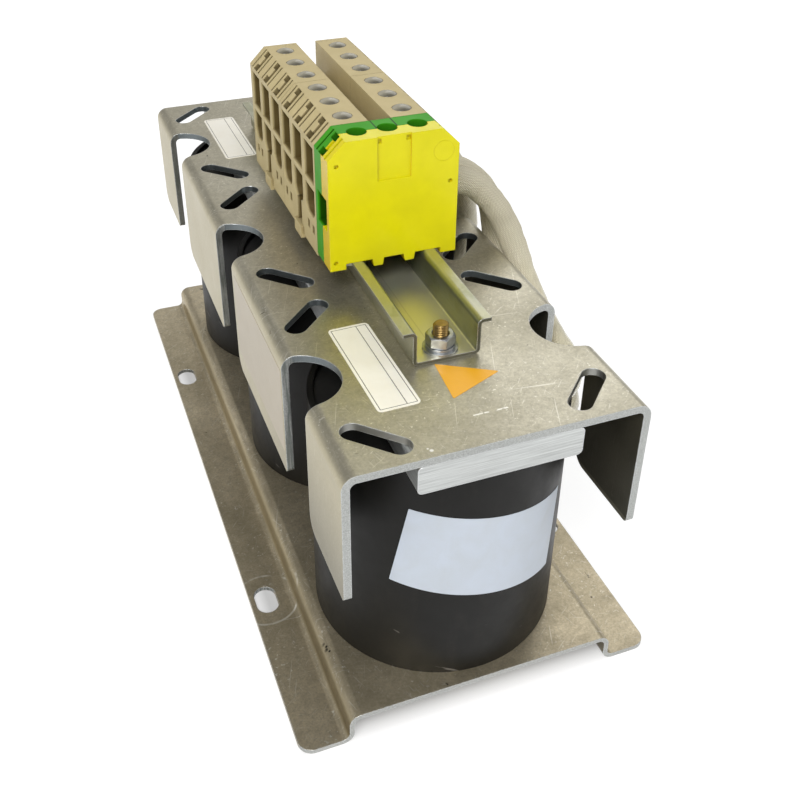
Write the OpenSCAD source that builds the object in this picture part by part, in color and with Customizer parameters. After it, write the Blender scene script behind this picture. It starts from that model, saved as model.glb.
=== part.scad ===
// Three-phase line reactor. Three potted coils stand in a row on a joggled base plate. A flat bar and
// a bent cover plate lie over them, and one long bolt through each coil clamps the stack together with
// a mounting rail. Terminal blocks and an earth terminal sit on the rail, and sleeved leads run down
// the right side to the coils.

/* [Base plate] */
// Width across the two flanges
base_w = 152; // [146:1:180]
// Length along the row of coils
base_l = 334; // [326:1:380]
// Sheet thickness
base_t = 2; // [1.5:0.5:3.5]
// Height of the raised deck above the floor
deck_h = 14; // [13:0.5:22]
// Width of a flange, from the raised deck's side to the base plate's edge
flange_w = 19.5; // [18:0.5:26]
// Inside radius of the two bends on each side
base_bend_r = 3; // [1.5:0.5:3]
// Corner radius of the flanges
base_corner_r = 6; // [2:0.5:10]
// Width of a fixing slot
fix_slot_w = 9.5; // [6:0.5:11]
// Overall length of a fixing slot
fix_slot_l = 15; // [12:0.5:24]
// Distance of a fixing slot's middle from the flange's edge
fix_slot_edge = 7; // [6:0.5:9]
// Distance along between the two fixing slots of a row
fix_slot_dy = 177; // [120:1:240]

/* [Coils] */
// Distance between coil centres
coil_pitch = 111.5; // [106:0.5:118]
// Outside diameter of a coil pot
coil_d = 101; // [96:0.5:105]
// Height of a coil pot
coil_h = 105; // [100:1:140]
// Wall of a pot
pot_wall = 2.5; // [1.5:0.5:3.5]
// Floor of a pot
pot_floor = 3; // [2:0.5:5]
// Depth of the filling's surface below the rim
filling_drop = 2; // [1:0.5:2.5]
// Outside diameter of the core as a share of the pot's
core_share = 0.46; // [0.36:0.01:0.5]
// Height of the core and of the former around it
former_h = 84; // [60:1:88]
// Wall of the former's tube and flanges
former_wall = 2; // [1.5:0.5:3]
// Width of the filling between the former's flanges and the pot's wall
filling_w = 6; // [5:0.5:10]
// Depth of the bare flange rim outside the winding
winding_drop = 1.5; // [0.5:0.5:4]
// Outside diameter of the spacer tube around the bolt
spacer_d = 14; // [10:0.5:18]

/* [Clamping] */
// Width of the flat bar over the coils
bar_w = 62; // [40:1:66]
// Thickness of the flat bar
bar_t = 12; // [8:0.5:16]
// Radius along the bar's edges
bar_edge_r = 2; // [0.5:0.5:3]
// Thread diameter of the clamping bolts
bolt_d = 6; // [5:0.5:7]
// Width across flats of the bolt heads and nuts
hex_af = 10; // [9:0.5:11]
// Height of a bolt head
head_h = 4; // [3:0.5:5]
// Height of a nut
nut_h = 4.5; // [4:0.5:6]
// Outside diameter of a flat washer
washer_d = 13.5; // [12:0.5:16]
// Thickness of a flat washer
washer_t = 1; // [0.8:0.1:1.6]
// Outside diameter of a split spring washer
spring_d = 11.5; // [10.5:0.5:12]
// Thickness of a split spring washer
spring_t = 1.2; // [1:0.1:1.8]
// Length of thread that stands above a nut
stud_proud = 4.3; // [1:0.1:4.5]

/* [Cover plate] */
// Width across the bent tabs
plate_w = 115; // [112:1:126]
// Length along the row of coils
plate_l = 334; // [326:1:380]
// Sheet thickness
plate_t = 3; // [2:0.5:4]
// Inside radius of the bends
plate_bend_r = 2.5; // [1:0.5:3.5]
// Drop of the tabs below the plate's upper face
tab_drop = 56; // [40:1:90]
// Radius of a tab's rear lower corner
tab_rear_r = 7; // [3:0.5:12]
// Radius of a tab's front lower corner
tab_front_r = 2; // [0.5:0.5:6]
// Width of the round-ended bites beside each coil
bite_w = 31.5; // [26:0.5:36]
// Depth of a bite from the plate's side
bite_depth = 18.25; // [17.5:0.25:22]
// Width of a ventilation slot
vent_w = 9; // [5:0.5:10]
// Overall length of a ventilation slot
vent_l = 26.5; // [18:0.5:28]
// Offset of a ventilation slot's middle from its coil's centre, across and along alike
vent_offset = 40; // [39:0.25:40.5]

/* [Mounting rail] */
// Width across the rail's lips
rail_w = 35; // [34:0.5:36]
// Height of the rail
rail_h = 15; // [14:0.5:18]
// Sheet thickness of the rail
rail_t = 1.5; // [1:0.1:2]
// Width across the outside of the rail's channel
rail_web_w = 27; // [26:0.5:28]
// Inside radius of the rail's bends
rail_bend_r = 0.8; // [0.4:0.1:1.2]
// Length of rail in front of the front bolt
rail_past_front = 6.5; // [6:0.5:30]
// Length of rail behind the rear bolt
rail_past_rear = 10.5; // [6:0.5:30]

/* [Terminal blocks] */
// Distance between neighbouring poles
pole_pitch = 16.5; // [16:0.25:18]
// Place of the joint between the two blocks along the rail
block_joint_y = 4; // [-4:0.5:8]
// Width of a block across the rail
block_w = 54; // [53:0.5:60]
// Height of a block above the rail
block_h = 52; // [50:0.5:60]
// Chamfer at a block's upper edges
block_chamfer = 7; // [5:0.25:7.5]
// Width of the valley between the two screw rows
valley_w = 9.4; // [6:0.2:12]
// Depth of the valley
valley_depth = 16; // [8:0.5:18]
// Distance between the two screw rows
screw_dx = 25; // [24:0.5:26]
// Diameter of a screw well
well_d = 8; // [7.5:0.1:9]
// Height of the wire axis above the rail
wire_z = 17.5; // [16:0.5:18]
// Width of the side pockets along the rail
pocket_w = 12.5; // [11.8:0.1:13]
// Depth of the wire pocket
wire_pocket_depth = 5; // [3:0.5:6]
// Depth of the upper pocket
upper_pocket_depth = 6.5; // [2:0.5:7]
// Drop of the feet beside the rail's lips
foot_drop = 4; // [3.5:0.25:6]
// Width of a foot
foot_w = 6.7; // [5:0.1:8]
// Gap between neighbouring housings
housing_gap = 0.2; // [0.1:0.05:0.4]
// Thickness of the plate that closes the row's rear end
end_plate_t = 1.5; // [1:0.25:3]
// Height of a cap's dome above the housing
dome_h = 1.2; // [0.3:0.1:1.5]
// Depth of a cap's plug in its screw well
plug_depth = 3; // [2:0.5:4]
// Reach of a latch beyond the housing's side
latch_proud = 1.2; // [0.2:0.1:2]

/* [Earth terminal] */
// Thickness of the earth terminal along the rail
earth_t = 17; // [16:0.5:20]
// Height of the earth terminal's wire axis above the rail
earth_wire_z = 21; // [18:0.5:22]
// Depth of the panel sunk in its front face
panel_depth = 0.9; // [0.3:0.1:1.5]

/* [Clamps in the terminals] */
// Length of a clamp cage along the wire
cage_l = 10; // [8:0.5:11]
// Width of a clamp cage along the rail
cage_w = 11.6; // [10:0.2:11.8]
// Thickness of a cage's top and bottom
cage_t = 3; // [2:0.25:3.5]
// Thickness of a cage's side walls
cage_side = 1.8; // [1.2:0.1:2.2]
// Thickness of the current bar
bus_t = 3; // [2:0.25:4]
// Diameter of a lead's crimped ferrule
ferrule_d = 7; // [6:0.25:7.5]
// Diameter of a clamp screw's thread
clamp_screw_d = 6; // [5:0.25:6.5]
// Depth of a screw head below the housing's top, under a cap
head_sink = 6; // [5:0.5:8]
// Depth of an earth screw's head below the housing's top
earth_head_sink = 12; // [6:0.5:14]

/* [Leads] */
// Outside diameter of a sleeved lead
lead_d = 11.5; // [10:0.25:12]
// Height of the upper lead's entry below a pot's rim
lead_in_drop = 18.5; // [16:0.5:24]
// Distance between a coil's two leads, one above the other
lead_in_dz = 12.5; // [12.2:0.1:14]
// Room around a lead where it goes into its coil
lead_clear = 0.6; // [0.4:0.1:1]

/* [Hidden] */
$fn = 64;
// Clearance between curved faces that fit into each other
fit = 0.1;
// Clearance of holes around the bolts, as a difference in diameter
hole_clear = 0.6;
// Overshoot of a cut past the face that it opens
over = 1;
BLOCK_POLES = 3;
POLES = 2 * BLOCK_POLES;
coil_ys = [coil_pitch, 0, -coil_pitch];

// Heights of the stack, from the floor up
deck_under = deck_h - base_t;
coil_top = deck_h + coil_h;
plate_under = coil_top + bar_t;
plate_top = plate_under + plate_t;
web_top = plate_top + rail_t;
rail_top = plate_top + rail_h;
block_top = rail_top + block_h;
nut_under = web_top + washer_t + spring_t;
stud_top = nut_under + nut_h + stud_proud;
hole_d = bolt_d + hole_clear;

// Base plate and rail in plan
deck_w = base_w - 2 * flange_w;
fix_slot_dx = base_w - 2 * fix_slot_edge;
rail_l = 2 * coil_pitch + rail_past_front + rail_past_rear;
rail_y = (rail_past_rear - rail_past_front) / 2;

// Coil interior
pot_in_r = coil_d / 2 - pot_wall;
core_d = core_share * coil_d;
former_d = 2 * (pot_in_r - filling_w);
former_z = deck_h + pot_floor;
former_in_r = core_d / 2 + fit;
winding_r = former_d / 2 - winding_drop;
filling_top = coil_top - filling_drop;
lead_in_z = coil_top - lead_in_drop;
lead_in_x = former_d / 2 + 1;
lead_r = lead_d / 2;

// Terminal layout along the rail, front end at the smallest Y
row_front = block_joint_y - BLOCK_POLES * pole_pitch;
row_back = block_joint_y + BLOCK_POLES * pole_pitch - housing_gap;
earth_back = row_front - housing_gap;
earth_front = earth_back - earth_t;
earth_mid = (earth_back + earth_front) / 2;
function pole_y(i) = block_joint_y + (i - (POLES - 1) / 2) * pole_pitch;

// Clamp heights above the wire axis
bus_top = -ferrule_d / 2;
cage_floor = bus_top - bus_t;
cage_in_top = ferrule_d / 2 + 5;
cage_in_w = cage_w - 2 * cage_side;
cavity_x = screw_dx / 2 + cage_l / 2 + 1.2;

// Inner prongs of a housing, which reach into the rail's channel
prong_x = 4.2;
prong_w = 5;
prong_drop = 3.2;
prong_taper = 0.6;
// Clearance between a hook and the underside of the rail's lip, and the hook's reach under the lip
hook_gap = 0.2;
hook_reach = 1.8;
hook_x = rail_w / 2 - hook_reach;
hook_top = rail_top - rail_t - hook_gap;
// Sprung latches
latch_w = 10;
latch_drop = foot_drop + 1.6;
// Strip under the earth terminal that carries its connection to the rail
foot_strip_w = 8;
foot_strip_t = 1.5;
foot_hook = 2;

// Straight length of a lead outside its terminal, and the depth in its pot from which it is straight again
lead_straight = 6;
lead_seat = 3.2;

// Flat outlines

module slot_outline(len, w) {
    square([len - w, w], center = true);
    for (s = [-1, 1]) translate([s * (len - w) / 2, 0]) circle(d = w);
}

module rounded_rect(w, h, r) {
    square([w - 2 * r, h], center = true);
    square([w, h - 2 * r], center = true);
    for (sx = [-1, 1], sy = [-1, 1]) translate([sx * (w / 2 - r), sy * (h / 2 - r)]) circle(r = r);
}

// Quarter of a bent sheet in the first quadrant, from inside radius r to r + t
module bend(r, t) {
    difference() {
        intersection() {
            circle(r = r + t);
            square(r + t);
        }
        circle(r = r);
    }
}

// Sheet with a raised middle: centre_w across the risers' outer faces, w across the low side strips
module joggle_outline(w, centre_w, rise, t, r) {
    outer = r + t;
    for (side = [0, 1]) mirror([side, 0]) {
        translate([0, rise - t]) square([centre_w / 2 - outer, t]);
        translate([centre_w / 2 - outer, rise - outer]) bend(r, t);
        translate([centre_w / 2 - t, outer]) square([t, rise - 2 * outer]);
        translate([centre_w / 2 + r, outer]) rotate(180) bend(r, t);
        translate([centre_w / 2 + r, 0]) square([(w - centre_w) / 2 - r, t]);
    }
}

// Channel that opens downwards: w across its legs, drop from its upper face
module channel_outline(w, drop, t, r) {
    outer = r + t;
    for (side = [0, 1]) mirror([side, 0]) {
        translate([0, -t]) square([w / 2 - outer, t]);
        translate([w / 2 - outer, -outer]) bend(r, t);
        translate([w / 2 - t, -drop]) square([t, drop - outer]);
    }
}

// Extrudes an outline drawn in X and Z along Y
module along_y(len) {
    rotate([90, 0, 0]) linear_extrude(height = len, center = true) children();
}

module hex_prism(af, h) {
    cylinder(d = af / cos(30), h = h, $fn = 6);
}

module bolt_holes(z, h) {
    for (y = coil_ys) translate([0, y, z - over]) cylinder(d = hole_d, h = h + 2 * over);
}

// Base plate: long flanges on the floor and a raised deck between them
module base_plate() {
    color("darkgray") difference() {
        intersection() {
            along_y(base_l) joggle_outline(base_w, deck_w, deck_h, base_t, base_bend_r);
            linear_extrude(height = deck_h) rounded_rect(base_w, base_l, base_corner_r);
        }
        for (sx = [-1, 1], sy = [-1, 1])
            translate([sx * fix_slot_dx / 2, sy * fix_slot_dy / 2, -over])
                linear_extrude(height = base_t + 2 * over) rotate(90) slot_outline(fix_slot_l, fix_slot_w);
        bolt_holes(deck_under, base_t);
    }
}

// Coils, each drawn at its place along Y

// Openings through which a coil's two leads come out, as wide as the leads and one above the other
module lead_way(r, x0, x1) {
    for (dz = [0, lead_in_dz])
        translate([x0, 0, lead_in_z - dz]) rotate([0, 90, 0]) cylinder(r = r, h = x1 - x0);
}

module coil_pot(y) {
    slot_bottom = lead_in_z - lead_in_dz;
    slot_w = lead_d + 2 * lead_clear;
    color([0.12, 0.11, 0.10]) translate([0, y, 0]) difference() {
        translate([0, 0, deck_h]) cylinder(d = coil_d, h = coil_h, $fn = 96);
        translate([0, 0, deck_h + pot_floor]) cylinder(r = pot_in_r, h = coil_h, $fn = 96);
        translate([0, 0, deck_h - over]) cylinder(d = spacer_d + 2 * fit, h = pot_floor + 2 * over);
        translate([0, -slot_w / 2, slot_bottom]) cube([coil_d, slot_w, coil_h]);
        translate([0, 0, slot_bottom]) rotate([0, 90, 0]) cylinder(d = slot_w, h = coil_d);
    }
}

module coil_core(y) {
    color("dimgray") translate([0, y, former_z]) difference() {
        cylinder(d = core_d, h = former_h);
        translate([0, 0, -over]) cylinder(d = spacer_d + 2 * fit, h = former_h + 2 * over);
    }
}

module coil_former(y) {
    color("tan") translate([0, y, former_z]) difference() {
        union() {
            cylinder(r = former_in_r + former_wall, h = former_h);
            cylinder(d = former_d, h = former_wall);
            translate([0, 0, former_h - former_wall]) cylinder(d = former_d, h = former_wall);
        }
        translate([0, 0, -over]) cylinder(r = former_in_r, h = former_h + 2 * over);
    }
}

module coil_winding(y) {
    color("peru") translate([0, y, former_z + former_wall]) difference() {
        cylinder(r = winding_r, h = former_h - 2 * former_wall);
        translate([0, 0, -over])
            cylinder(r = former_in_r + former_wall + fit, h = former_h + 2 * over);
    }
}

module coil_filling(y) {
    color([0.16, 0.14, 0.13]) translate([0, y, 0]) difference() {
        translate([0, 0, former_z]) cylinder(r = pot_in_r - fit, h = filling_top - former_z, $fn = 96);
        translate([0, 0, former_z - over]) cylinder(r = former_d / 2 + fit, h = former_h + over);
        cylinder(d = spacer_d + 2 * fit, h = coil_top);
        lead_way(lead_r + lead_clear, lead_in_x, coil_d / 2);
    }
}

module bolt_spacer(y) {
    color("lightgray") translate([0, y, deck_h]) difference() {
        cylinder(d = spacer_d, h = coil_h);
        translate([0, 0, -over]) cylinder(d = hole_d, h = coil_h + 2 * over);
    }
}

// Clamping stack

module clamp_bar() {
    color("silver") difference() {
        translate([0, 0, coil_top + bar_t / 2]) along_y(plate_l) rounded_rect(bar_w, bar_t, bar_edge_r);
        bolt_holes(coil_top, bar_t);
    }
}

// Outline of one tab in Y and Z below the plate, with its two lower corners rounded
module tab_outline(y0, y1) {
    front_r = tab_front_r;
    rear_r = tab_rear_r;
    translate([y0 + front_r, -tab_drop]) square([y1 - y0 - front_r - rear_r, tab_drop]);
    translate([y0, -tab_drop + front_r]) square([front_r, tab_drop - front_r]);
    translate([y1 - rear_r, -tab_drop + rear_r]) square([rear_r, tab_drop - rear_r]);
    translate([y0 + front_r, -tab_drop + front_r]) circle(r = front_r);
    translate([y1 - rear_r, -tab_drop + rear_r]) circle(r = rear_r);
}

// Cover plate: a sheet bent down into four tabs a side, bitten out beside each coil and slotted around it
module cover_plate() {
    half = bite_w / 2;
    sides = [for (k = [-1, 0, 1], s = [-1, 1]) k * coil_pitch + s * half];
    ends = concat([-plate_l / 2], sides, [plate_l / 2]);
    bite_x = plate_w / 2 - bite_depth + half;
    color("darkgray") difference() {
        intersection() {
            translate([0, 0, plate_top]) along_y(plate_l)
                channel_outline(plate_w, tab_drop, plate_t, plate_bend_r);
            union() {
                for (k = [0 : 3]) translate([0, 0, plate_top]) rotate([90, 0, 90])
                    linear_extrude(height = plate_w + 2 * over, center = true)
                        tab_outline(ends[2 * k], ends[2 * k + 1]);
                translate([-plate_w, -plate_l, plate_under - plate_bend_r])
                    cube([2 * plate_w, 2 * plate_l, plate_t + plate_bend_r]);
            }
        }
        for (side = [0, 1], y = coil_ys) mirror([side, 0, 0]) {
            translate([bite_x, y, plate_top - tab_drop - over]) {
                cylinder(d = bite_w, h = tab_drop + 2 * over);
                translate([0, -half, 0]) cube([plate_w, bite_w, tab_drop + 2 * over]);
            }
            for (s = [-1, 1])
                translate([vent_offset, y + s * vent_offset, plate_under - over])
                    linear_extrude(height = plate_t + 2 * over) rotate(-s * 45) slot_outline(vent_l, vent_w);
        }
        bolt_holes(plate_under, plate_t);
    }
}

module mounting_rail() {
    color([0.72, 0.72, 0.42]) difference() {
        translate([0, rail_y, plate_top]) along_y(rail_l)
            translate([0, rail_h]) mirror([0, 1])
                joggle_outline(rail_w, rail_web_w, rail_h, rail_t, rail_bend_r);
        bolt_holes(plate_top, rail_t);
    }
}

module clamp_bolts() {
    head_top = deck_under - washer_t;
    color("goldenrod") for (y = coil_ys) translate([0, y, 0]) {
        translate([0, 0, head_top - head_h]) hex_prism(hex_af, head_h);
        translate([0, 0, head_top]) cylinder(d = bolt_d, h = stud_top - head_top);
    }
}

module clamp_nuts() {
    color("lightgray") for (y = coil_ys) translate([0, y, nut_under]) difference() {
        hex_prism(hex_af, nut_h);
        translate([0, 0, -over]) cylinder(d = bolt_d + 2 * fit, h = nut_h + 2 * over);
    }
}

module flat_washers() {
    levels = [deck_under - washer_t, web_top];
    color("silver") for (y = coil_ys, z = levels) translate([0, y, z]) difference() {
        cylinder(d = washer_d, h = washer_t);
        translate([0, 0, -over]) cylinder(d = hole_d, h = washer_t + 2 * over);
    }
}

module spring_washers() {
    split = spring_t / 2;
    color("gray") for (y = coil_ys) translate([0, y, web_top + washer_t]) difference() {
        cylinder(d = spring_d, h = spring_t);
        translate([0, 0, -over]) cylinder(d = hole_d, h = spring_t + 2 * over);
        translate([0, -split / 2, -over]) cube([spring_d, split, spring_t + 2 * over]);
    }
}

// Terminals

// Outline of a terminal housing in X and Z, seated on the rail's lips
module housing_outline(drop) {
    w = block_w / 2;
    c = block_chamfer;
    polygon([[-w, rail_top], [w, rail_top], [w, block_top - c], [w - c, block_top], [c - w, block_top],
        [-w, block_top - c]]);
    for (side = [0, 1]) mirror([side, 0]) {
        translate([w - foot_w, rail_top - drop]) square([foot_w, drop]);
        polygon([[prong_x, rail_top], [prong_x + prong_taper, rail_top - prong_drop],
            [prong_x + prong_w - prong_taper, rail_top - prong_drop], [prong_x + prong_w, rail_top]]);
    }
}

// Outline of a housing with the valley between its screw rows
module valley_outline() {
    difference() {
        housing_outline(foot_drop);
        translate([-valley_w / 2, block_top - valley_depth]) square([valley_w, valley_depth + over]);
    }
}

// Fixed hook under the rail's right lip
module hook_outline(drop) {
    translate([hook_x, rail_top - drop])
        square([block_w / 2 - foot_w - hook_x, hook_top - rail_top + drop]);
}

// Space for the two cages and the bar of one pole, with the screw wells above and the wire bores beside it
module pole_cavity(axis_z) {
    top = axis_z + cage_in_top + cage_t;
    bottom = axis_z + cage_floor - cage_t;
    translate([-cavity_x, -cage_w / 2 - fit, bottom])
        cube([2 * cavity_x, cage_w + 2 * fit, top - bottom + fit]);
    for (s = [-1, 1]) {
        translate([s * screw_dx / 2, 0, axis_z]) cylinder(d = well_d, h = block_top);
        translate([s * (block_w / 4 + cavity_x / 2), 0, axis_z]) rotate([0, 90, 0])
            cylinder(d = ferrule_d + 2 * hole_clear, h = block_w / 2 - cavity_x + over, center = true);
    }
}

// Marker holder cut into the chamfer: a groove at each side, and two notches with a sunk bed between them
module marker_cut(w) {
    slope = block_chamfer * sqrt(2);
    groove = 1.3;
    groove_depth = 2.2;
    notch = 2.8;
    bed_w = 2.2;
    bed_depth = 1.4;
    translate([block_w / 2 - block_chamfer / 2, 0, block_top - block_chamfer / 2]) rotate([0, 45, 0]) {
        for (s = [-1, 1]) {
            translate([0, s * (w / 2 - groove), 0])
                cube([slope + 2 * fit, groove, 2 * groove_depth], center = true);
            translate([s * (slope - notch) / 2, 0, 0]) cube([notch, w * 0.4, 2 * notch], center = true);
        }
        translate([0, -w * 0.12, 0]) cube([slope - notch, bed_w, 2 * bed_depth], center = true);
    }
}

// Wire pocket and upper pocket on one side, open towards +X
module side_pockets(axis_z) {
    wire_h = 13;
    rib = 2.5;
    upper_bottom = axis_z + wire_h / 2 + rib;
    upper_top = block_top - block_chamfer - rib;
    corner = 4;
    translate([block_w / 2 - wire_pocket_depth, 0, axis_z - wire_h / 2]) rotate([90, 0, 90])
        linear_extrude(height = wire_pocket_depth + over) {
            translate([-pocket_w / 2, corner]) square([pocket_w, wire_h - corner]);
            translate([corner - pocket_w / 2, 0]) square([pocket_w - 2 * corner, wire_h]);
            for (s = [-1, 1]) translate([s * (pocket_w / 2 - corner), corner]) circle(r = corner);
        }
    translate([block_w / 2 - upper_pocket_depth, -pocket_w / 2, upper_bottom])
        cube([upper_pocket_depth + over, pocket_w, upper_top - upper_bottom]);
}

module terminal_block(y0) {
    axis_z = rail_top + wire_z;
    hole = 3;
    slot_h = 11;
    len = BLOCK_POLES * pole_pitch - housing_gap;
    middle = floor(BLOCK_POLES / 2);
    color([0.80, 0.72, 0.55]) difference() {
        translate([0, y0 + len / 2, 0]) along_y(len) {
            valley_outline();
            hook_outline(foot_drop);
        }
        for (i = [0 : BLOCK_POLES - 1]) translate([0, y0 + (i + 0.5) * pole_pitch, 0]) {
            pole_cavity(axis_z);
            for (side = [0, 1]) mirror([side, 0, 0]) {
                side_pockets(axis_z);
                marker_cut(pocket_w);
                if (i != middle) for (s = [-1, 1])
                    translate([block_w / 2 - hole, s * hole * 1.1 - hole / 2, rail_top + hole * 1.2])
                        cube([hole + over, hole, hole * 1.3]);
            }
            if (i == middle) {
                translate([-block_w / 2 - over, -hole, rail_top]) cube([hole + over, 2 * hole, slot_h]);
                translate([-block_w / 2 - over, -latch_w / 2 - fit, rail_top - foot_drop - over])
                    cube([foot_w + 2 * over, latch_w + 2 * fit, foot_drop + over]);
            }
        }
    }
}

// Thin plate on the rear face of the row
module row_end_plate() {
    color([0.80, 0.72, 0.55]) translate([0, row_back + end_plate_t / 2, 0])
        along_y(end_plate_t) valley_outline();
}

// Sprung latches that grip the rail's left lip, one at the middle of each block
module block_latches() {
    middle = BLOCK_POLES * pole_pitch / 2;
    color([0.76, 0.68, 0.50]) for (y0 = [row_front, block_joint_y])
        translate([-block_w / 2 - latch_proud, y0 + middle - latch_w / 2, rail_top - latch_drop]) {
            cube([foot_w + latch_proud, latch_w, latch_drop]);
            cube([block_w / 2 + latch_proud - hook_x, latch_w, hook_top - rail_top + latch_drop]);
        }
}

// Domed caps pressed into the screw wells
module screw_caps() {
    r = well_d / 2 - fit;
    ball = (r * r + dome_h * dome_h) / (2 * dome_h);
    $fn = 32;
    color("gray") for (i = [0 : POLES - 1], s = [-1, 1]) translate([s * screw_dx / 2, pole_y(i), block_top]) {
        translate([0, 0, -plug_depth]) cylinder(r = r, h = plug_depth);
        intersection() {
            cylinder(r = r, h = dome_h + over);
            translate([0, 0, dome_h - ball]) sphere(r = ball);
        }
    }
}

// Box frame around the bar and the wire, with a tapped top for its screw
module cage(x, y, axis_z) {
    bottom = axis_z + cage_floor - cage_t;
    h = cage_in_top - cage_floor + 2 * cage_t;
    translate([x, y, bottom]) difference() {
        translate([-cage_l / 2, -cage_w / 2, 0]) cube([cage_l, cage_w, h]);
        translate([-cage_l / 2 - over, -cage_in_w / 2, cage_t])
            cube([cage_l + 2 * over, cage_in_w, h - 2 * cage_t]);
        translate([0, 0, h - cage_t - over]) cylinder(d = clamp_screw_d + 2 * fit, h = cage_t + 2 * over);
    }
}

module bus(y, axis_z) {
    half = screw_dx / 2 + cage_l / 2 + 1;
    translate([-half, y - cage_in_w / 2 + fit, axis_z + cage_floor])
        cube([2 * half, cage_in_w - 2 * fit, bus_t]);
}

// Slotted screw with a flat head, seated on the wire below
module clamp_screw(x, y, tip_z, sink) {
    head = well_d - 0.6;
    head_t = 3;
    slot = 1.2;
    top = block_top - sink;
    translate([x, y, 0]) difference() {
        union() {
            translate([0, 0, tip_z]) cylinder(d = clamp_screw_d, h = top - tip_z - head_t);
            translate([0, 0, top - head_t]) cylinder(d = head, h = head_t);
        }
        translate([-head / 2, -slot / 2, top - slot]) cube([head, slot, slot + over]);
    }
}

module terminal_cages() {
    color("silver") for (i = [0 : POLES - 1], s = [-1, 1])
        cage(s * screw_dx / 2, pole_y(i), rail_top + wire_z);
}

module terminal_buses() {
    color("peru") for (i = [0 : POLES - 1]) bus(pole_y(i), rail_top + wire_z);
}

module terminal_screws() {
    tip_z = rail_top + wire_z + ferrule_d / 2;
    color("lightgray") for (i = [0 : POLES - 1], s = [-1, 1])
        clamp_screw(s * screw_dx / 2, pole_y(i), tip_z, head_sink);
}

// Earth terminal: a green body and a yellow cover that meet at its middle plane

module earth_shell() {
    axis_z = rail_top + earth_wire_z;
    drop = 2.5;
    window_h = 13.5;
    window_d = 8;
    strip_room = foot_strip_t + fit;
    difference() {
        translate([0, earth_mid, 0]) along_y(earth_t) housing_outline(drop);
        translate([0, earth_mid, 0]) {
            pole_cavity(axis_z);
            translate([0, 0, axis_z + cage_floor - over]) cylinder(d = well_d, h = block_top);
            translate([0, 0, rail_top - over]) cylinder(d = clamp_screw_d + hole_clear, h = earth_wire_z);
            for (side = [0, 1]) mirror([side, 0, 0]) {
                translate([block_w / 2 - window_d, -pocket_w / 2 + 0.5, axis_z - window_h / 2])
                    cube([window_d + over, pocket_w - 1, window_h]);
                marker_cut(pocket_w);
            }
            translate([-block_w / 2 + over, -foot_strip_w / 2 - fit, rail_top - foot_drop])
                cube([block_w - 2 * over, foot_strip_w + 2 * fit, foot_drop + strip_room]);
        }
    }
}

module earth_body() {
    color([0.24, 0.60, 0.20]) intersection() {
        earth_shell();
        translate([-block_w, earth_mid, 0]) cube([2 * block_w, earth_t, 2 * block_top]);
    }
}

// Yellow front half with a sunk panel, two small notches at the panel and three dimples on its face
module earth_cover() {
    panel_w = 13.8;
    panel_h = 18;
    notch = 1.8;
    dimple = 1.7;
    dimple_depth = 1.2;
    side = block_w / 2 - 3.5;
    notches = [[-6, block_h - 2], [6, block_h - 2]];
    dimples = [[-side, block_h - 9.5], [side, earth_wire_z + 8.5], [-side - 1, 1]];
    color([0.88, 0.84, 0.10]) difference() {
        intersection() {
            earth_shell();
            translate([-block_w, earth_mid - earth_t, 0]) cube([2 * block_w, earth_t, 2 * block_top]);
        }
        translate([-panel_w / 2, earth_front - over, block_top - panel_h])
            cube([panel_w, panel_depth + over, panel_h + over]);
        for (d = notches) translate([d[0], earth_front + panel_depth, rail_top + d[1]])
            cube([notch, 2 * panel_depth, notch], center = true);
        for (d = dimples) translate([d[0], earth_front + dimple_depth, rail_top + d[1]]) rotate([90, 0, 0])
            cylinder(d = dimple, h = dimple_depth + over, $fn = 24);
    }
}

module earth_cages() {
    color("silver") for (s = [-1, 1]) cage(s * screw_dx / 2, earth_mid, rail_top + earth_wire_z);
}

module earth_bus() {
    axis_z = rail_top + earth_wire_z;
    color("peru") difference() {
        bus(earth_mid, axis_z);
        translate([0, earth_mid, axis_z + cage_floor - over])
            cylinder(d = clamp_screw_d + 2 * fit, h = bus_t + 2 * over);
    }
}

// Two wire screws, and a longer one in the middle that draws the foot up against the rail
module earth_screws() {
    axis_z = rail_top + earth_wire_z;
    color("lightgray") {
        for (s = [-1, 1]) clamp_screw(s * screw_dx / 2, earth_mid, axis_z + ferrule_d / 2, earth_head_sink);
        clamp_screw(0, earth_mid, rail_top, earth_head_sink);
    }
}

module earth_rail_foot() {
    hook_in = rail_w / 2 + 2 * fit;
    hook_h = foot_drop - 2 * fit;
    color("whitesmoke") translate([0, earth_mid - foot_strip_w / 2, 0]) difference() {
        union() {
            translate([-hook_in - foot_strip_t, 0, rail_top])
                cube([2 * (hook_in + foot_strip_t), foot_strip_w, foot_strip_t]);
            for (side = [0, 1]) mirror([side, 0, 0]) {
                translate([hook_in, 0, rail_top - hook_h]) cube([foot_strip_t, foot_strip_w, hook_h]);
                translate([hook_in - foot_hook, 0, rail_top - hook_h])
                    cube([foot_hook, foot_strip_w, hook_h - rail_t - hook_gap]);
            }
        }
        translate([0, foot_strip_w / 2, rail_top - over])
            cylinder(d = clamp_screw_d + 2 * fit, h = foot_strip_t + 2 * over);
    }
}

// Leads

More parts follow.
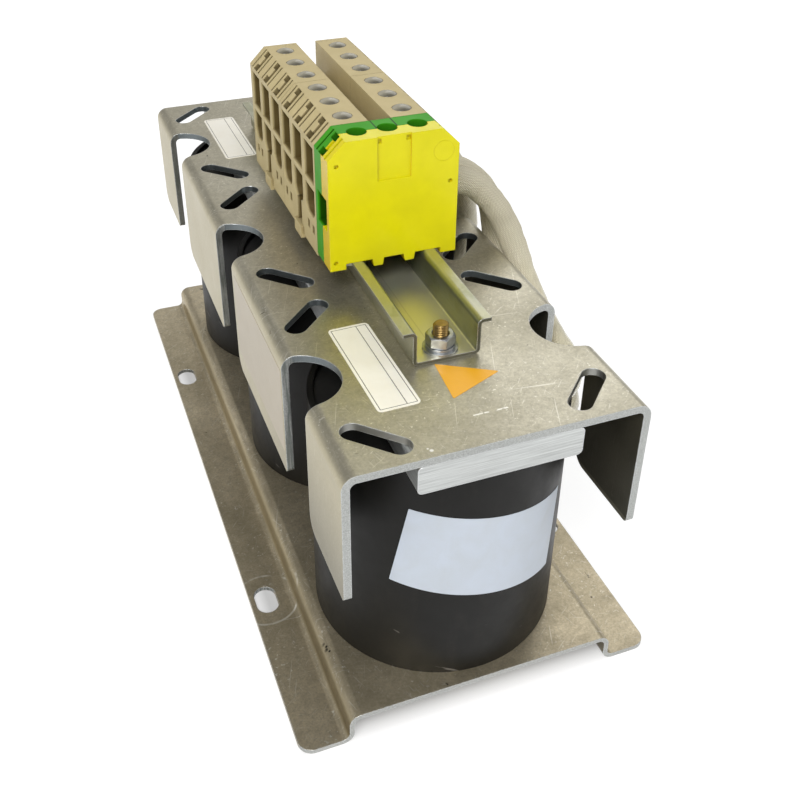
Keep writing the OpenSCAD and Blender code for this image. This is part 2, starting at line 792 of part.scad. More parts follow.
// Stations of a lead between its terminal and its coil: X, share of the way along Y, and Z above the
// upper coil entry
lead_start_x = block_w / 2 - wire_pocket_depth;
lead_start_dz = rail_top + wire_z - lead_in_z;
FRONT_RUN = [[43.5, 0, 62.5], [51.5, 0, 56], [57.4, 0.02, 48.5], [61.2, 0.05, 41], [63.5, 0.13, 31],
    [63.8, 0.28, 20.5], [63.8, 0.45, 14.2], [63.9, 0.58, 9.6], [64.8, 0.67, 6.6], [65.6, 0.75, 4.1],
    [64.8, 0.829, 2.2], [61.9, 0.903, 0.8], [57, 0.963, 0.2], [52, 0.992, 0]];
SECOND_RUN = [[44, 0, 62.3], [53, 0, 56.5], [59.5, 0.01, 48.5], [63.6, 0.02, 38], [64.6, 0.05, 22],
    [64.2, 0.1, 7], [63.9, 0.2, -3], [63.8, 0.35, -8], [63.8, 0.5, -10.2], [63.9, 0.66, -11.5],
    [64.8, 0.73, -11.9], [65.6, 0.79, -12.2], [64.8, 0.86, -12.4], [61.9, 0.921, -12.5], [57, 0.97, -12.5],
    [52, 0.993, -12.5]];
MIDDLE_RUN = [[38, 0, 64.8], [42.5, 0, 62.3], [47, 0.03, 58.8], [51.5, 0.08, 53.5], [55, 0.15, 46.5],
    [57.4, 0.25, 38.5], [58.9, 0.4, 29.5], [59.7, 0.55, 20], [59.5, 0.68, 12.5], [58, 0.82, 6.2],
    [54.6, 0.93, 2.4], [50.8, 0.985, 0.5]];
LOWER_RUN = [[38.5, 0, 65], [44, 0, 62.5], [52, 0, 56.5], [58, 0, 48.5], [61.8, 0, 39.5], [64, 0, 29.5],
    [65.2, 0.02, 19], [65.4, 0.08, 8.5], [64, 0.28, -1.2], [60.6, 0.6, -6.7], [55.5, 0.87, -10.5],
    [51, 0.97, -12.1]];

function unit(v) = v / norm(v);
function heading(p, i) = unit(p[min(i + 1, len(p) - 1)] - p[max(i - 1, 0)]);

function lead_route(y0, y1, run, drop) = concat(
    [[lead_start_x, y0, lead_start_dz], [block_w / 2 + lead_straight, y0, lead_start_dz]],
    [for (s = run) [s[0], y0 + (y1 - y0) * s[1], s[2]]],
    [[coil_d / 2 - lead_seat, y1, -drop], [lead_in_x, y1, -drop]]);

// Round tube of radius r swept along the points p
module tube(p, r, sides) {
    rings = [for (i = [0 : len(p) - 1])
        let (t = heading(p, i), u = unit(cross(t, [0, 1, 0])), v = cross(t, u))
            for (k = [0 : sides - 1]) p[i] + r * (cos(360 * k / sides) * u + sin(360 * k / sides) * v)];
    last = sides * (len(p) - 1);
    walls = [for (i = [0 : len(p) - 2], k = [0 : sides - 1])
        let (a = i * sides + k, b = i * sides + (k + 1) % sides)
            each [[a, b, a + sides], [b, b + sides, a + sides]]];
    caps = [[for (k = [sides - 1 : -1 : 0]) k], [for (k = [0 : sides - 1]) last + k]];
    polyhedron(points = rings, faces = concat(walls, caps), convexity = 4);
}

module lead(y0, y1, run, drop) {
    color([0.85, 0.80, 0.64]) translate([0, 0, lead_in_z])
        tube(lead_route(y0, y1, run, drop), lead_r, 12);
}

module lead_ferrules() {
    len = lead_start_x - screw_dx / 2 + cage_l / 2;
    color("peru") for (i = [0 : POLES - 1])
        translate([lead_start_x - len, pole_y(i), rail_top + wire_z])
            rotate([0, 90, 0]) cylinder(d = ferrule_d, h = len);
}

base_plate();
coil_pot(coil_ys[2]);  // coil_pot_front
coil_pot(coil_ys[1]);  // coil_pot_middle
coil_pot(coil_ys[0]);  // coil_pot_rear
coil_core(coil_ys[2]);  // coil_core_front
coil_core(coil_ys[1]);  // coil_core_middle
coil_core(coil_ys[0]);  // coil_core_rear
coil_former(coil_ys[2]);  // coil_former_front
coil_former(coil_ys[1]);  // coil_former_middle
coil_former(coil_ys[0]);  // coil_former_rear
coil_winding(coil_ys[2]);  // coil_winding_front
coil_winding(coil_ys[1]);  // coil_winding_middle
coil_winding(coil_ys[0]);  // coil_winding_rear
coil_filling(coil_ys[2]);  // coil_filling_front
coil_filling(coil_ys[1]);  // coil_filling_middle
coil_filling(coil_ys[0]);  // coil_filling_rear
bolt_spacer(coil_ys[2]);  // bolt_spacer_front
bolt_spacer(coil_ys[1]);  // bolt_spacer_middle
bolt_spacer(coil_ys[0]);  // bolt_spacer_rear
clamp_bar();
cover_plate();
mounting_rail();
clamp_bolts();
clamp_nuts();
flat_washers();
spring_washers();
terminal_block(row_front);  // terminal_block_front
terminal_block(block_joint_y);  // terminal_block_rear
row_end_plate();
block_latches();
terminal_cages();
terminal_buses();
terminal_screws();
screw_caps();
earth_body();
earth_cover();
earth_cages();
earth_bus();
earth_screws();
earth_rail_foot();
lead(pole_y(0), coil_ys[2], FRONT_RUN, 0);  // lead_1
lead(pole_y(1), coil_ys[2], SECOND_RUN, lead_in_dz);  // lead_2
lead(pole_y(2), coil_ys[1], MIDDLE_RUN, 0);  // lead_3
lead(pole_y(3), coil_ys[1], LOWER_RUN, lead_in_dz);  // lead_4
lead(pole_y(4), coil_ys[0], SECOND_RUN, lead_in_dz);  // lead_5
lead(pole_y(5), coil_ys[0], FRONT_RUN, 0);  // lead_6
lead_ferrules();
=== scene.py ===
"""Line reactor: finishes, sleeved leads, fasteners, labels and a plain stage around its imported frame."""

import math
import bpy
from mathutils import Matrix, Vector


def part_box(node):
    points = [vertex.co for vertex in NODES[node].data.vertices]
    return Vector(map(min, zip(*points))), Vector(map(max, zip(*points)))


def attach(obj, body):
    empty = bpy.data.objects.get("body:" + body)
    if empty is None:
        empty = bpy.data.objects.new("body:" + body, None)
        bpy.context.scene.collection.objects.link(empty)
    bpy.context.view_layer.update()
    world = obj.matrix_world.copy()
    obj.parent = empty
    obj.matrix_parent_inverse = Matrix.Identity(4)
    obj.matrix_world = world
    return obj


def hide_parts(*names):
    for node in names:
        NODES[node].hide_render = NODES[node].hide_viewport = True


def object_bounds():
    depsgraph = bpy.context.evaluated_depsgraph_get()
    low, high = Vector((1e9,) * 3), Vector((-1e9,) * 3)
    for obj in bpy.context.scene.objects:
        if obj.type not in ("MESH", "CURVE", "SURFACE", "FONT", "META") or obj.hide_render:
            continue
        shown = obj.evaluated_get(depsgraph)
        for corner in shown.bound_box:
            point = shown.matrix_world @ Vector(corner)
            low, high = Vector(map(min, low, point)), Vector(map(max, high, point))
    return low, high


bl_info = {
    "name": "Line reactor",
    "version": (1, 0, 0),
    "blender": (4, 5, 0),
    "location": "View3D > Sidebar > Reactor",
    "description": "Dresses a three-coil line reactor with finishes, leads, fasteners, labels and a stage",
    "category": "Object",
}

import bmesh
import bpy
from bpy.props import FloatProperty, FloatVectorProperty, PointerProperty
from mathutils import Matrix, Vector, noise
from mathutils.geometry import interpolate_bezier

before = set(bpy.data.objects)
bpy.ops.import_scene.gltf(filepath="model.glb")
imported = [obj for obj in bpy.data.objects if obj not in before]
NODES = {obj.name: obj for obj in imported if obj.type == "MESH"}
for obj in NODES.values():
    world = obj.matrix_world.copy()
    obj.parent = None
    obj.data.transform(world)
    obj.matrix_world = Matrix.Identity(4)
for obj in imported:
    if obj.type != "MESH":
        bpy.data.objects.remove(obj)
CAD_BOX = [list(corner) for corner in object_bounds()]
BODY = "root"
MM = 0.001
SHARP = math.radians(35)
FLOOR_Z = -0.3 * MM

# Openings of the cover plate: half the width that they lie in, how far the row of slots reaches in coil
# pitches, where slots begin and end and how far bites reach from a coil's axis, and where left bites lie
SLOT_HALF_X = 53 * MM
SLOT_ROW = 1.495
SLOT_NEAR = 20 * MM
SLOT_FAR = 54.5 * MM
BITE_REACH = 16.5 * MM
BITE_X = -30 * MM

# Mounting rail: its sheet, half the width of its web and the place of a drawing line in the web
RAIL_SHEET = 1.5 * MM
RAIL_WEB_HALF = 12.5 * MM
RAIL_LINE_X = -2.8 * MM


# Settings

def length(name, text, default):
    return FloatProperty(name=name, description=text, default=default, min=0, unit="LENGTH", precision=5)


def watts(name, text, default):
    return FloatProperty(name=name, description=text, default=default, min=0, unit="POWER")


def colour(name, text, default):
    return FloatVectorProperty(
        name=name, description=text, default=default, size=3, min=0, max=1, subtype="COLOR")


class StageSettings(bpy.types.PropertyGroup):
    camera_place: FloatVectorProperty(
        name="Camera place", description="Where the camera stands", size=3, subtype="TRANSLATION",
        default=(-0.1306, -0.4033, 0.3552))
    camera_turn: FloatVectorProperty(
        name="Camera turn", description="How the camera is turned", size=3, subtype="EULER",
        default=(math.radians(57.399), math.radians(-0.338), math.radians(-20.657)))
    camera_lens: FloatProperty(
        name="Lens", description="Focal length in millimetres for a 36 mm sensor", default=46.58, min=10,
        unit="CAMERA")
    camera_shift: FloatVectorProperty(
        name="Shift", description="Share of the picture by which the lens is shifted", size=2,
        default=(0.01, -0.11))
    floor_size: length("Floor size", "Width of the floor", 8.0)
    key_power: watts("Key light", "Power of the large light", 32)
    fill_power: watts("Fill light", "Power of the light from the right", 5)
    back_power: watts("Back light", "Power of the light behind on the right", 6)
    sky: FloatProperty(name="Sky", description="Strength of the surrounding light", default=0.55, min=0)


class MetalSettings(bpy.types.PropertyGroup):
    sheet: colour("Sheet", "Colour of the mill-finished sheet", (0.69, 0.65, 0.52))
    sheet_dark: colour("Stained sheet", "Colour of the sheet where it is stained", (0.52, 0.485, 0.375))
    sheared: colour("Sheared edge", "Colour of the sheet's cut edges", (0.64, 0.67, 0.675))
    bar: colour("Bar", "Colour of the sawn flat bar", (0.68, 0.70, 0.69))
    rail: colour("Rail", "Colour of the passivated rail", (0.52, 0.51, 0.345))
    rail_grey: colour("Rail wear", "Colour of the rail where the passivation is thin", (0.52, 0.525, 0.45))
    zinc: colour("Zinc", "Colour of bright zinc", (0.50, 0.515, 0.525))
    gold: colour("Gold", "Colour of the passivated bolts", (0.36, 0.245, 0.09))


class PlasticSettings(bpy.types.PropertyGroup):
    pot: colour("Pot", "Colour of the coil pots", (0.006, 0.0057, 0.005))
    beige: colour("Housing", "Colour of the terminal housings", (0.57, 0.47, 0.245))
    green: colour("Earth body", "Colour of the earth terminal's body", (0.05, 0.34, 0.012))
    yellow: colour("Earth cover", "Colour of the earth terminal's cover", (0.78, 0.715, 0.002))
    cap: colour("Caps", "Colour of the caps over the screws", (0.36, 0.335, 0.255))


class LeadSettings(bpy.types.PropertyGroup):
    diameter: length("Diameter", "Outside diameter of a sleeved lead", 11.5 * MM)
    sleeve: colour("Sleeve", "Colour of the braided sleeve", (0.94, 0.90, 0.72))
    shade: colour("Sleeve shade", "Colour between the braid's strands", (0.58, 0.51, 0.36))
    strand: length("Strand", "Width of a braided strand", 0.8 * MM)


class FastenerSettings(bpy.types.PropertyGroup):
    thread_d: length("Thread", "Outside diameter of the thread", 6 * MM)
    thread_pitch: length("Pitch", "Rise of one turn of thread", 1 * MM)
    thread_depth: length("Thread depth", "Depth of the thread", 0.5 * MM)
    hex_af: length("Across flats", "Width of heads and nuts across flats", 10 * MM)


class LabelSettings(bpy.types.PropertyGroup):
    paper: colour("Paper", "Colour of the plate labels", (0.98, 0.95, 0.85))
    note: colour("Note", "Colour of the paper on the front coil", (0.56, 0.615, 0.70))
    cream: colour("Tab label", "Colour of the label on the left tab", (0.48, 0.415, 0.305))
    amber: colour("Amber", "Colour of the three-cornered sticker", (0.86, 0.42, 0.012))
    thickness: length("Thickness", "Thickness of the labels", 0.12 * MM)


class ReactorSettings(bpy.types.PropertyGroup):
    stage: PointerProperty(type=StageSettings)
    metal: PointerProperty(type=MetalSettings)
    plastic: PointerProperty(type=PlasticSettings)
    lead: PointerProperty(type=LeadSettings)
    fastener: PointerProperty(type=FastenerSettings)
    label: PointerProperty(type=LabelSettings)


# Shader maths

class Wire:
    """A shader socket, on which sums add Math nodes."""

    def __init__(self, bench, socket):
        self.bench = bench
        self.socket = socket

    def _sum(self, operation, first, second=0.0):
        return self.bench.node("ShaderNodeMath", {"operation": operation}, {0: first, 1: second})

    def __add__(self, other):
        return self._sum("ADD", self, other)

    def __radd__(self, other):
        return self._sum("ADD", other, self)

    def __sub__(self, other):
        return self._sum("SUBTRACT", self, other)

    def __rsub__(self, other):
        return self._sum("SUBTRACT", other, self)

    def __mul__(self, other):
        return self._sum("MULTIPLY", self, other)

    def __rmul__(self, other):
        return self._sum("MULTIPLY", other, self)

    def __pow__(self, other):
        return self._sum("POWER", self, other)

    def __abs__(self):
        return self._sum("ABSOLUTE", self)

    def __gt__(self, other):
        return self._sum("GREATER_THAN", self, other)

    def __lt__(self, other):
        return self._sum("LESS_THAN", self, other)

    def sine(self):
        return self._sum("SINE", self)


class Bench:
    """Where one finish is put together."""

    def __init__(self, name, tree=None):
        self.material = None
        if tree is None:
            self.material = bpy.data.materials.new(name)
            self.material.use_nodes = True
            tree = self.material.node_tree
        self.tree = tree

    def node(self, kind, settings, values, out=0):
        made = self.tree.nodes.new(kind)
        for key, value in settings.items():
            setattr(made, key, value)
        for key, value in values.items():
            if isinstance(value, Wire):
                self.tree.links.new(value.socket, made.inputs[key])
            else:
                made.inputs[key].default_value = value
        return Wire(self, made.outputs[out])

    def place(self):
        return self.node("ShaderNodeTexCoord", {}, {}, "Object")

    def axes(self, vector):
        first = self.node("ShaderNodeSeparateXYZ", {}, {0: vector})
        return [Wire(self, socket) for socket in first.socket.node.outputs]

    def facing(self):
        """Shares of X, Y and Z in the direction that the surface faces."""
        return self.axes(self.node("ShaderNodeNewGeometry", {}, {}, "Normal"))

    def laid(self, stretch=(1, 1, 1), turn=(0, 0, 0), shift=(0, 0, 0)):
        """Place turned first and stretched afterwards."""
        return self.node("ShaderNodeMapping", {"vector_type": "TEXTURE"}, {
            "Vector": self.place(), "Location": shift, "Rotation": turn, "Scale": [1 / c for c in stretch]})

    def noise(self, scale, detail=2.0, rough=0.5, warp=0.0, at=None):
        return self.node("ShaderNodeTexNoise", {}, {
            "Vector": at or self.place(), "Scale": scale, "Detail": detail, "Roughness": rough,
            "Distortion": warp})

    def span(self, value, low, high, to_low=0.0, to_high=1.0):
        return self.node("ShaderNodeMapRange", {}, {0: value, 1: low, 2: high, 3: to_low, 4: to_high})

    def mix(self, share, first, second):
        pad = [tuple(c) + (1.0,) if not isinstance(c, Wire) else c for c in (first, second)]
        return self.node("ShaderNodeMix", {"data_type": "RGBA"}, {0: share, 6: pad[0], 7: pad[1]}, 2)

    def largest(self, *values):
        top = values[0]
        for value in values[1:]:
            top = top._sum("MAXIMUM", top, value)
        return top

    def rounded(self, radius):
        return self.node("ShaderNodeBevel", {"samples": 4}, {"Radius": radius})

    def edge(self, radius):
        """Share of an edge's wear: 1 along edges sharper than the radius, 0 on flats."""
        true = self.node("ShaderNodeNewGeometry", {}, {}, "Normal")
        level = self.node("ShaderNodeVectorMath", {"operation": "DOT_PRODUCT"},
                          {0: self.rounded(radius), 1: true}, "Value")
        return self.span(1 - level, 0.01, 0.12)

    def bump(self, height, depth, strength=1.0, normal=None):
        values = {"Height": height, "Distance": depth, "Strength": strength}
        if normal is not None:
            values["Normal"] = normal
        return self.node("ShaderNodeBump", {}, values)

    def scratches(self, turn, across, along, low, high, shift=(0, 0, 0)):
        """Thin marks along one direction in X and Y, at so many across and along each metre."""
        at = self.laid(stretch=(across, along, along), turn=(0, 0, turn), shift=shift)
        return self.span(self.noise(1.0, 1.0, 0.4, 0.15, at), low, high)

    def ring(self, x, y, centre, radius, half):
        """Share of a ring drawn in X and Y with half its line's width; a dot where the radius is 0."""
        far = ((x - centre[0]) ** 2 + (y - centre[1]) ** 2) ** 0.5
        return self.span(abs(far - radius), half, 0.5 * half)

    def done(self, **values):
        """Sets the surface's sockets and returns the finish."""
        shader = self.tree.nodes["Principled BSDF"]
        for key, value in values.items():
            socket = shader.inputs[key.replace("_", " ").title().replace("Ior", "IOR")]
            if isinstance(value, Wire):
                self.tree.links.new(value.socket, socket)
            elif socket.type == "RGBA":
                socket.default_value = tuple(value) + (1.0,)
            else:
                socket.default_value = value
        return self.material


# Finishes

def tint(tone, by):
    """A colour times one number, or times one number for each of its channels."""
    return [c * w for c, w in zip(tone, by if isinstance(by, tuple) else (by,) * 3)]


def sheet_finish(name, bright, dark, sheared, tab_foot, pitch, dots=(), rubbed=(), scored=()):
    """Mill-finished aluminium with stains, speckle, scratches and bright cut edges.

    Upright faces, slot walls, the insides of tabs and the foot of the front tab carry painted shade. Dots are
    specks as centre, radius and colour, rubbed are arcs left by washers as centre, radius and half the line's
    width, and scored are marks across as two ends in X and their Y.
    """
    bared = (0.93, 0.90, 0.80)
    b = Bench(name)
    x, y, z = b.axes(b.place())
    nx, ny, nz = b.facing()
    blotch = b.span(b.noise(16, 4, 0.6, 0.4), 0.38, 0.66)
    cloud = b.span(b.noise(70, 4, 0.6), 0.35, 0.70)
    grain = b.noise(1100, 3, 0.7)
    mottle = b.span(b.noise(330, 4, 0.7, 0.3), 0.40, 0.62)
    speck = b.span(b.noise(700, 2, 0.6), 0.635, 0.70) * b.span(b.noise(45, 3, 0.6), 0.42, 0.62, 0.15, 1.0)
    fine = b.largest(*[b.scratches(turn, across, along, 0.71, 0.77, shift) for turn, across, along, shift in (
        (0.3, 1900, 110, (0, 0, 0)), (-0.7, 1700, 130, (3, 1, 0)),
        (1.25, 2100, 120, (7, 5, 2)), (2.2, 1800, 95, (2, 8, 4)))])
    long = b.largest(b.scratches(1.45, 1500, 20, 0.745, 0.78, (5, 2, 1)),
                     b.scratches(-0.35, 1500, 24, 0.745, 0.78))
    nick = b.span(b.noise(190, 2, 0.5, 0.6), 0.755, 0.78)
    off_axis = b.node("ShaderNodeMath", {"operation": "PINGPONG"}, {0: abs(y), 1: pitch / 2})
    wall = (abs(x) < SLOT_HALF_X) * (abs(nz) < 0.5) * (abs(y) < SLOT_ROW * pitch)
    slot = wall * b.largest((off_axis > SLOT_NEAR) * (off_axis < SLOT_FAR),
                            (off_axis < BITE_REACH) * (x < BITE_X))
    inside = b.span(x * nx, -0.01, -0.04) * (z > tab_foot)
    upright = b.span(abs(nx), 0.6, 0.9)
    under = b.span(nz, -0.5, -0.8) * b.span(z, tab_foot, tab_foot - 0.002)
    cut = b.largest(b.span(abs(ny), 0.15, 0.4), under)
    worn = b.edge(0.0007)
    fold = b.span(abs(nx) * nz, 0.12, 0.35)
    peel = b.noise(1.0, 3, 0.7, 0.3, b.laid((380, 60, 380)))
    tone = b.mix(blotch * 0.65 + cloud * 0.35, dark, bright)
    tone = b.mix(fold * b.span(peel, 0.35, 0.65, 0.15, 0.6), tone, tint(dark, 0.5))
    tone = b.mix(b.span(grain, 0.38, 0.66) * 0.30 + mottle * 0.22, tone, tint(dark, 0.58))
    tone = b.mix(b.largest(speck * 0.75, fine * 0.3, long * 0.45), tone, bared)
    tone = b.mix(nick * 0.8, tone, (0.05, 0.045, 0.035))
    for centre, radius, half in rubbed:
        patchy = b.span(b.noise(160, 2, 0.5), 0.42, 0.58)
        tone = b.mix(b.ring(x, y, centre, radius, half) * patchy * 0.7, tone, bared)
    for start, end, level in scored:
        stroke = b.span(abs(y - level), 0.0005, 0.0002) * (x > start) * (x < end)
        broken = b.span(b.noise(520, 1), 0.40, 0.50)
        tone = b.mix(stroke * broken * 0.9, tone, (0.98, 0.96, 0.88))
    for centre, radius, shade in dots:
        tone = b.mix(b.ring(x, y, centre, 0, radius) * 0.95, tone, shade)
    # Painted shade: faces that stand upright are made darker
    tone = b.mix(upright * 0.8, tone, tint(dark, (0.98, 0.95, 0.86)))
    # Painted shade on the front tab, growing darker towards its foot
    low = b.span(z, tab_foot + 0.042, tab_foot + 0.004) * b.span(y, -0.06, -0.13) * upright
    tone = b.mix(low * 0.65, tone, tint(dark, 0.36))
    # Painted shade on faces that look inwards, inside the tabs
    tone = b.mix(inside * 0.7, tone, tint(dark, 0.2))
    ground = b.mix(b.span(b.noise(1700, 3, 0.7), 0.35, 0.65), tint(sheared, 0.50), tint(sheared, 0.80))
    drag = b.noise(1.0, 3, 0.65, 0.3, b.laid((850, 120, 70)))
    streak = b.span(drag, 0.42, 0.60) * b.span(y, -0.14, -0.10) * (x < 0)
    ground = b.mix(streak * 0.85, ground, (0.12, 0.145, 0.15))
    ground = b.mix(b.span(y, -0.03, 0.08) * 0.65, ground, (0.09, 0.095, 0.085))
    tone = b.mix(cut * 0.85, tone, ground)
    # Painted shade on the slot walls, lighter towards the front
    hollow_shade = b.mix(b.span(y, -0.155, -0.10), (0.42, 0.41, 0.37), (0.17, 0.195, 0.205))
    tone = b.mix(slot * 0.9, tone, hollow_shade)
    tone = b.mix(worn * b.span(grain, 0.38, 0.6, 0.25, 0.9), tone, tint(sheared, 1.15))
    marks = b.largest(fine, long)
    rough = b.span(blotch, 0, 1, 0.46, 0.36) - marks * 0.08 + cut * 0.06 + (grain - 0.5) * 0.2
    height = grain * 0.5 + cloud * 0.3 - marks * 0.3 + b.noise(420, 3, 0.6) * 0.4
    return b.done(base_color=tone, metallic=0.88, roughness=rough,
                  normal=b.bump(height, 0.00016, 0.35, b.rounded(0.0005)))


def bar_finish(name, tone):
    """Flat bar with a drawn skin along its sides and saw marks across its ends."""
    b = Bench(name)
    ny = b.facing()[1]
    end = b.span(abs(ny), 0.5, 0.8)
    saw = b.noise(1.0, 3, 0.75, 0.1, b.laid((45, 45, 2600)))
    drawn = b.noise(1.0, 3, 0.7, 0.0, b.laid((1800, 25, 1800)))
    marks = end * saw + (1 - end) * drawn
    shade = b.mix(b.span(marks, 0.32, 0.68), tint(tone, 0.62), tone)
    shade = b.mix(b.edge(0.0008) * 0.7, shade, (0.84, 0.85, 0.86))
    return b.done(base_color=shade, metallic=0.9, roughness=b.span(marks, 0.3, 0.7, 0.30, 0.46),
                  normal=b.bump(marks, 0.0002, 0.4, b.rounded(0.0006)))


def rail_finish(name, yellow, grey, web_top):
    """Passivated zinc: a patchy yellow film, worn edges and drawing lines along the rail, with painted shade
    on its cut ends, its inner walls and its outer left side, and a painted reflection that makes its web
    lighter and greyer.
    """
    b = Bench(name)
    x, _, z = b.axes(b.place())
    nx, ny, _ = b.facing()
    film = b.span(b.noise(26, 3, 0.6, 0.8), 0.36, 0.64)
    drawn = b.noise(1.0, 3, 0.7, 0.0, b.laid((1400, 18, 1400)))
    wander = (b.noise(30) - 0.5) * 0.0006
    line = b.span(abs(x - RAIL_LINE_X + wander), 0.00034, 0.00016)
    line = line * b.span(z, web_top + 1.0 * MM, web_top + 0.5 * MM)
    fleck = b.span(b.noise(700, 2, 0.6), 0.68, 0.74)
    tone = b.mix(film * 0.8 + b.span(drawn, 0.3, 0.7) * 0.2, yellow, grey)
    tone = b.mix(b.span(b.noise(90, 3, 0.6, 0.6), 0.50, 0.70) * 0.5, tone, (0.27, 0.29, 0.15))
    tone = b.mix(fleck * 0.25, tone, (0.75, 0.73, 0.55))
    tone = b.mix(line * 0.8, tone, (0.05, 0.05, 0.035))
    # Painted reflection: the top of the web is made lighter and greyer
    web = b.span(z, web_top + 1.3 * MM, web_top + 0.3 * MM) * (abs(x) < RAIL_WEB_HALF)
    tone = b.mix(web * 0.75, tone, (0.80, 0.77, 0.64))
    # Painted shade on the rail's outer left side, under its lip
    left = b.span(x * abs(nx), -0.011, -0.013) * b.span(nx, -0.4, -0.8)
    tone = b.mix(left * 0.45, tone, (0.20, 0.19, 0.13))
    # Painted shade on the walls that face into the rail
    wall = b.span(x * nx, -0.004, -0.008)
    tone = b.mix(wall * 0.65, tone, (0.13, 0.15, 0.075))
    # Painted shade on the cut ends
    tone = b.mix(b.span(abs(ny), 0.5, 0.8) * 0.8, tone, (0.09, 0.09, 0.07))
    tone = b.mix(b.edge(0.0006) * 0.75, tone, (0.74, 0.74, 0.70))
    rough = b.span(drawn, 0.25, 0.75, 0.30, 0.42) + film * 0.05
    return b.done(base_color=tone, metallic=0.85, roughness=rough,
                  normal=b.bump(drawn, 0.00012, 0.35, b.rounded(0.0004)))


def plated_finish(name, tone, rough=0.25, turned=False):
    """Plated steel, bright on its edges, dull and a little cloudy on its faces."""
    b = Bench(name)
    cloud = b.span(b.noise(320, 3, 0.6), 0.3, 0.7)
    mark = b.noise(1.0, 2, 0.6, 0.0, b.laid((300, 300, 3000) if turned else (900, 900, 900)))
    shade = b.mix(cloud, tint(tone, 0.72), tone)
    shade = b.mix(b.edge(0.0003) * 0.6, shade, [min(1.0, 1.25 * c) for c in tone])
    return b.done(base_color=shade, metallic=1.0, roughness=b.span(cloud, 0, 1, rough + 0.12, rough),
                  normal=b.bump(mark, 0.00006, 0.4, b.rounded(0.00025)))


def pot_finish(name, tone, foot):
    """Satin dark moulding with handling scuffs and dust low on its side."""
    b = Bench(name)
    z = b.axes(b.place())[2]
    scuff = b.span(b.noise(1.0, 4, 0.7, 0.3, b.laid((90, 90, 22))), 0.56, 0.80)
    nick = b.span(b.noise(1.0, 2, 0.5, 0.2, b.laid((60, 60, 480), (0.2, 0.3, 0.0))), 0.71, 0.75)
    dust = b.span(z, foot + 41 * MM, foot + 2 * MM) * b.span(b.noise(60, 4, 0.65), 0.35, 0.75)
    shade = b.mix(scuff * 0.25 + dust * 0.03, tone, (0.045, 0.041, 0.036))
    shade = b.mix(nick * 0.4 * b.span(z, foot + 46 * MM, foot + 6 * MM), shade, (0.30, 0.28, 0.25))
    rough = b.span(b.noise(140, 3, 0.6), 0.3, 0.7, 0.38, 0.48) + scuff * 0.12
    return b.done(base_color=shade, roughness=rough, specular_ior_level=0.21,
                  normal=b.bump(b.noise(1400, 2, 0.6), 0.00005, 0.35, b.rounded(0.0008)))


def moulded_finish(name, tone, rough=0.42, corner_shade_share=0.5, warm=0.0, seam=0.0, pocket=None, gloss=0.2,
                   shaded=0.0):
    """Moulded plastic: fine texture, polished edges, and painted shade in corners and on the sides, which
    turns them darker and warmer.

    Seams run along Y at so far from the middle. Pockets lie under a side and are given as half the width,
    the greatest height and the greatest Y; they get painted shade. Shaded is the share of painted shade on
    faces that lean to the front.
    """
    b = Bench(name)
    x, y, z = b.axes(b.place())
    nx, ny, nz = b.facing()
    # Painted shade in corners and hollows, from ambient occlusion, a little patchy
    hollow_shade = b.node("ShaderNodeAmbientOcclusion", {"samples": 6}, {"Distance": 0.010}, "AO")
    corner_shade = b.span(hollow_shade, 0.80, 0.30) * b.span(b.noise(120, 3, 0.6), 0.2, 0.7, 0.7, 1.0)
    cloud = b.span(b.noise(70, 3, 0.6, 0.2), 0.3, 0.7)
    shade = b.mix(cloud, tint(tone, 0.90), tone)
    shade = b.mix(corner_shade * corner_shade_share, shade, tint(tint(tone, 0.22), (1.0, 0.9, 0.7)))
    shade = b.mix(b.edge(0.0004) * 0.35, shade, [min(1.0, 1.12 * c + 0.03) for c in tone])
    # Painted shade on the sides: faces that turn sideways are darker and more orange
    if warm:
        shade = b.mix(b.span(abs(nx), 0.6, 0.9) * warm, shade, tint(tone, (0.95, 0.70, 0.6)))
    if seam:
        line = b.span(abs(abs(x) - seam), 0.00036, 0.00018) * b.span(nz, 0.5, 0.8)
        shade = b.mix(line * 0.95, shade, tint(tone, 0.04))
    if pocket:
        half, top, far = pocket
        # Painted shade deep in the pockets under the sides
        pocket_shade = b.span(half - abs(x), 0.0003, 0.0012) * (z < top) * (y < far) * (abs(x) > half - 12 * MM)
        shade = b.mix(pocket_shade * 0.93, shade, tint(tone, (0.17, 0.14, 0.075)))
    if shaded:
        # Painted shade on the faces that lean to the front
        shade = b.mix(b.span(ny, -0.10, -0.45) * shaded, shade, tint(tone, 0.2))
    fine = b.noise(900, 3, 0.6)
    return b.done(base_color=shade, roughness=b.span(cloud, 0, 1, rough + 0.06, rough - 0.04),
                  specular_ior_level=gloss, normal=b.bump(fine, 0.00008, 0.25, b.rounded(0.0006)))


def resin_finish(name, tone, rough=0.5):
    """Plain cast or pressed material inside a coil."""
    b = Bench(name)
    cloud = b.span(b.noise(150, 4, 0.6, 0.3), 0.3, 0.7)
    return b.done(base_color=b.mix(cloud, tint(tone, 0.6), tone),
                  roughness=b.span(cloud, 0, 1, rough + 0.1, rough),
                  normal=b.bump(b.noise(500, 3, 0.6), 0.0001, 0.4))


def winding_finish(name, tone):
    """Layers of enamelled wire, one ridge to each turn."""
    b = Bench(name)
    z = b.axes(b.place())[2]
    wire = 1.6 * MM
    turn = abs((z * (math.pi / wire)).sine())
    return b.done(base_color=b.mix(turn, tint(tone, 0.35), tone), metallic=0.8, roughness=0.32,
                  normal=b.bump(turn, 0.0005, 0.8))


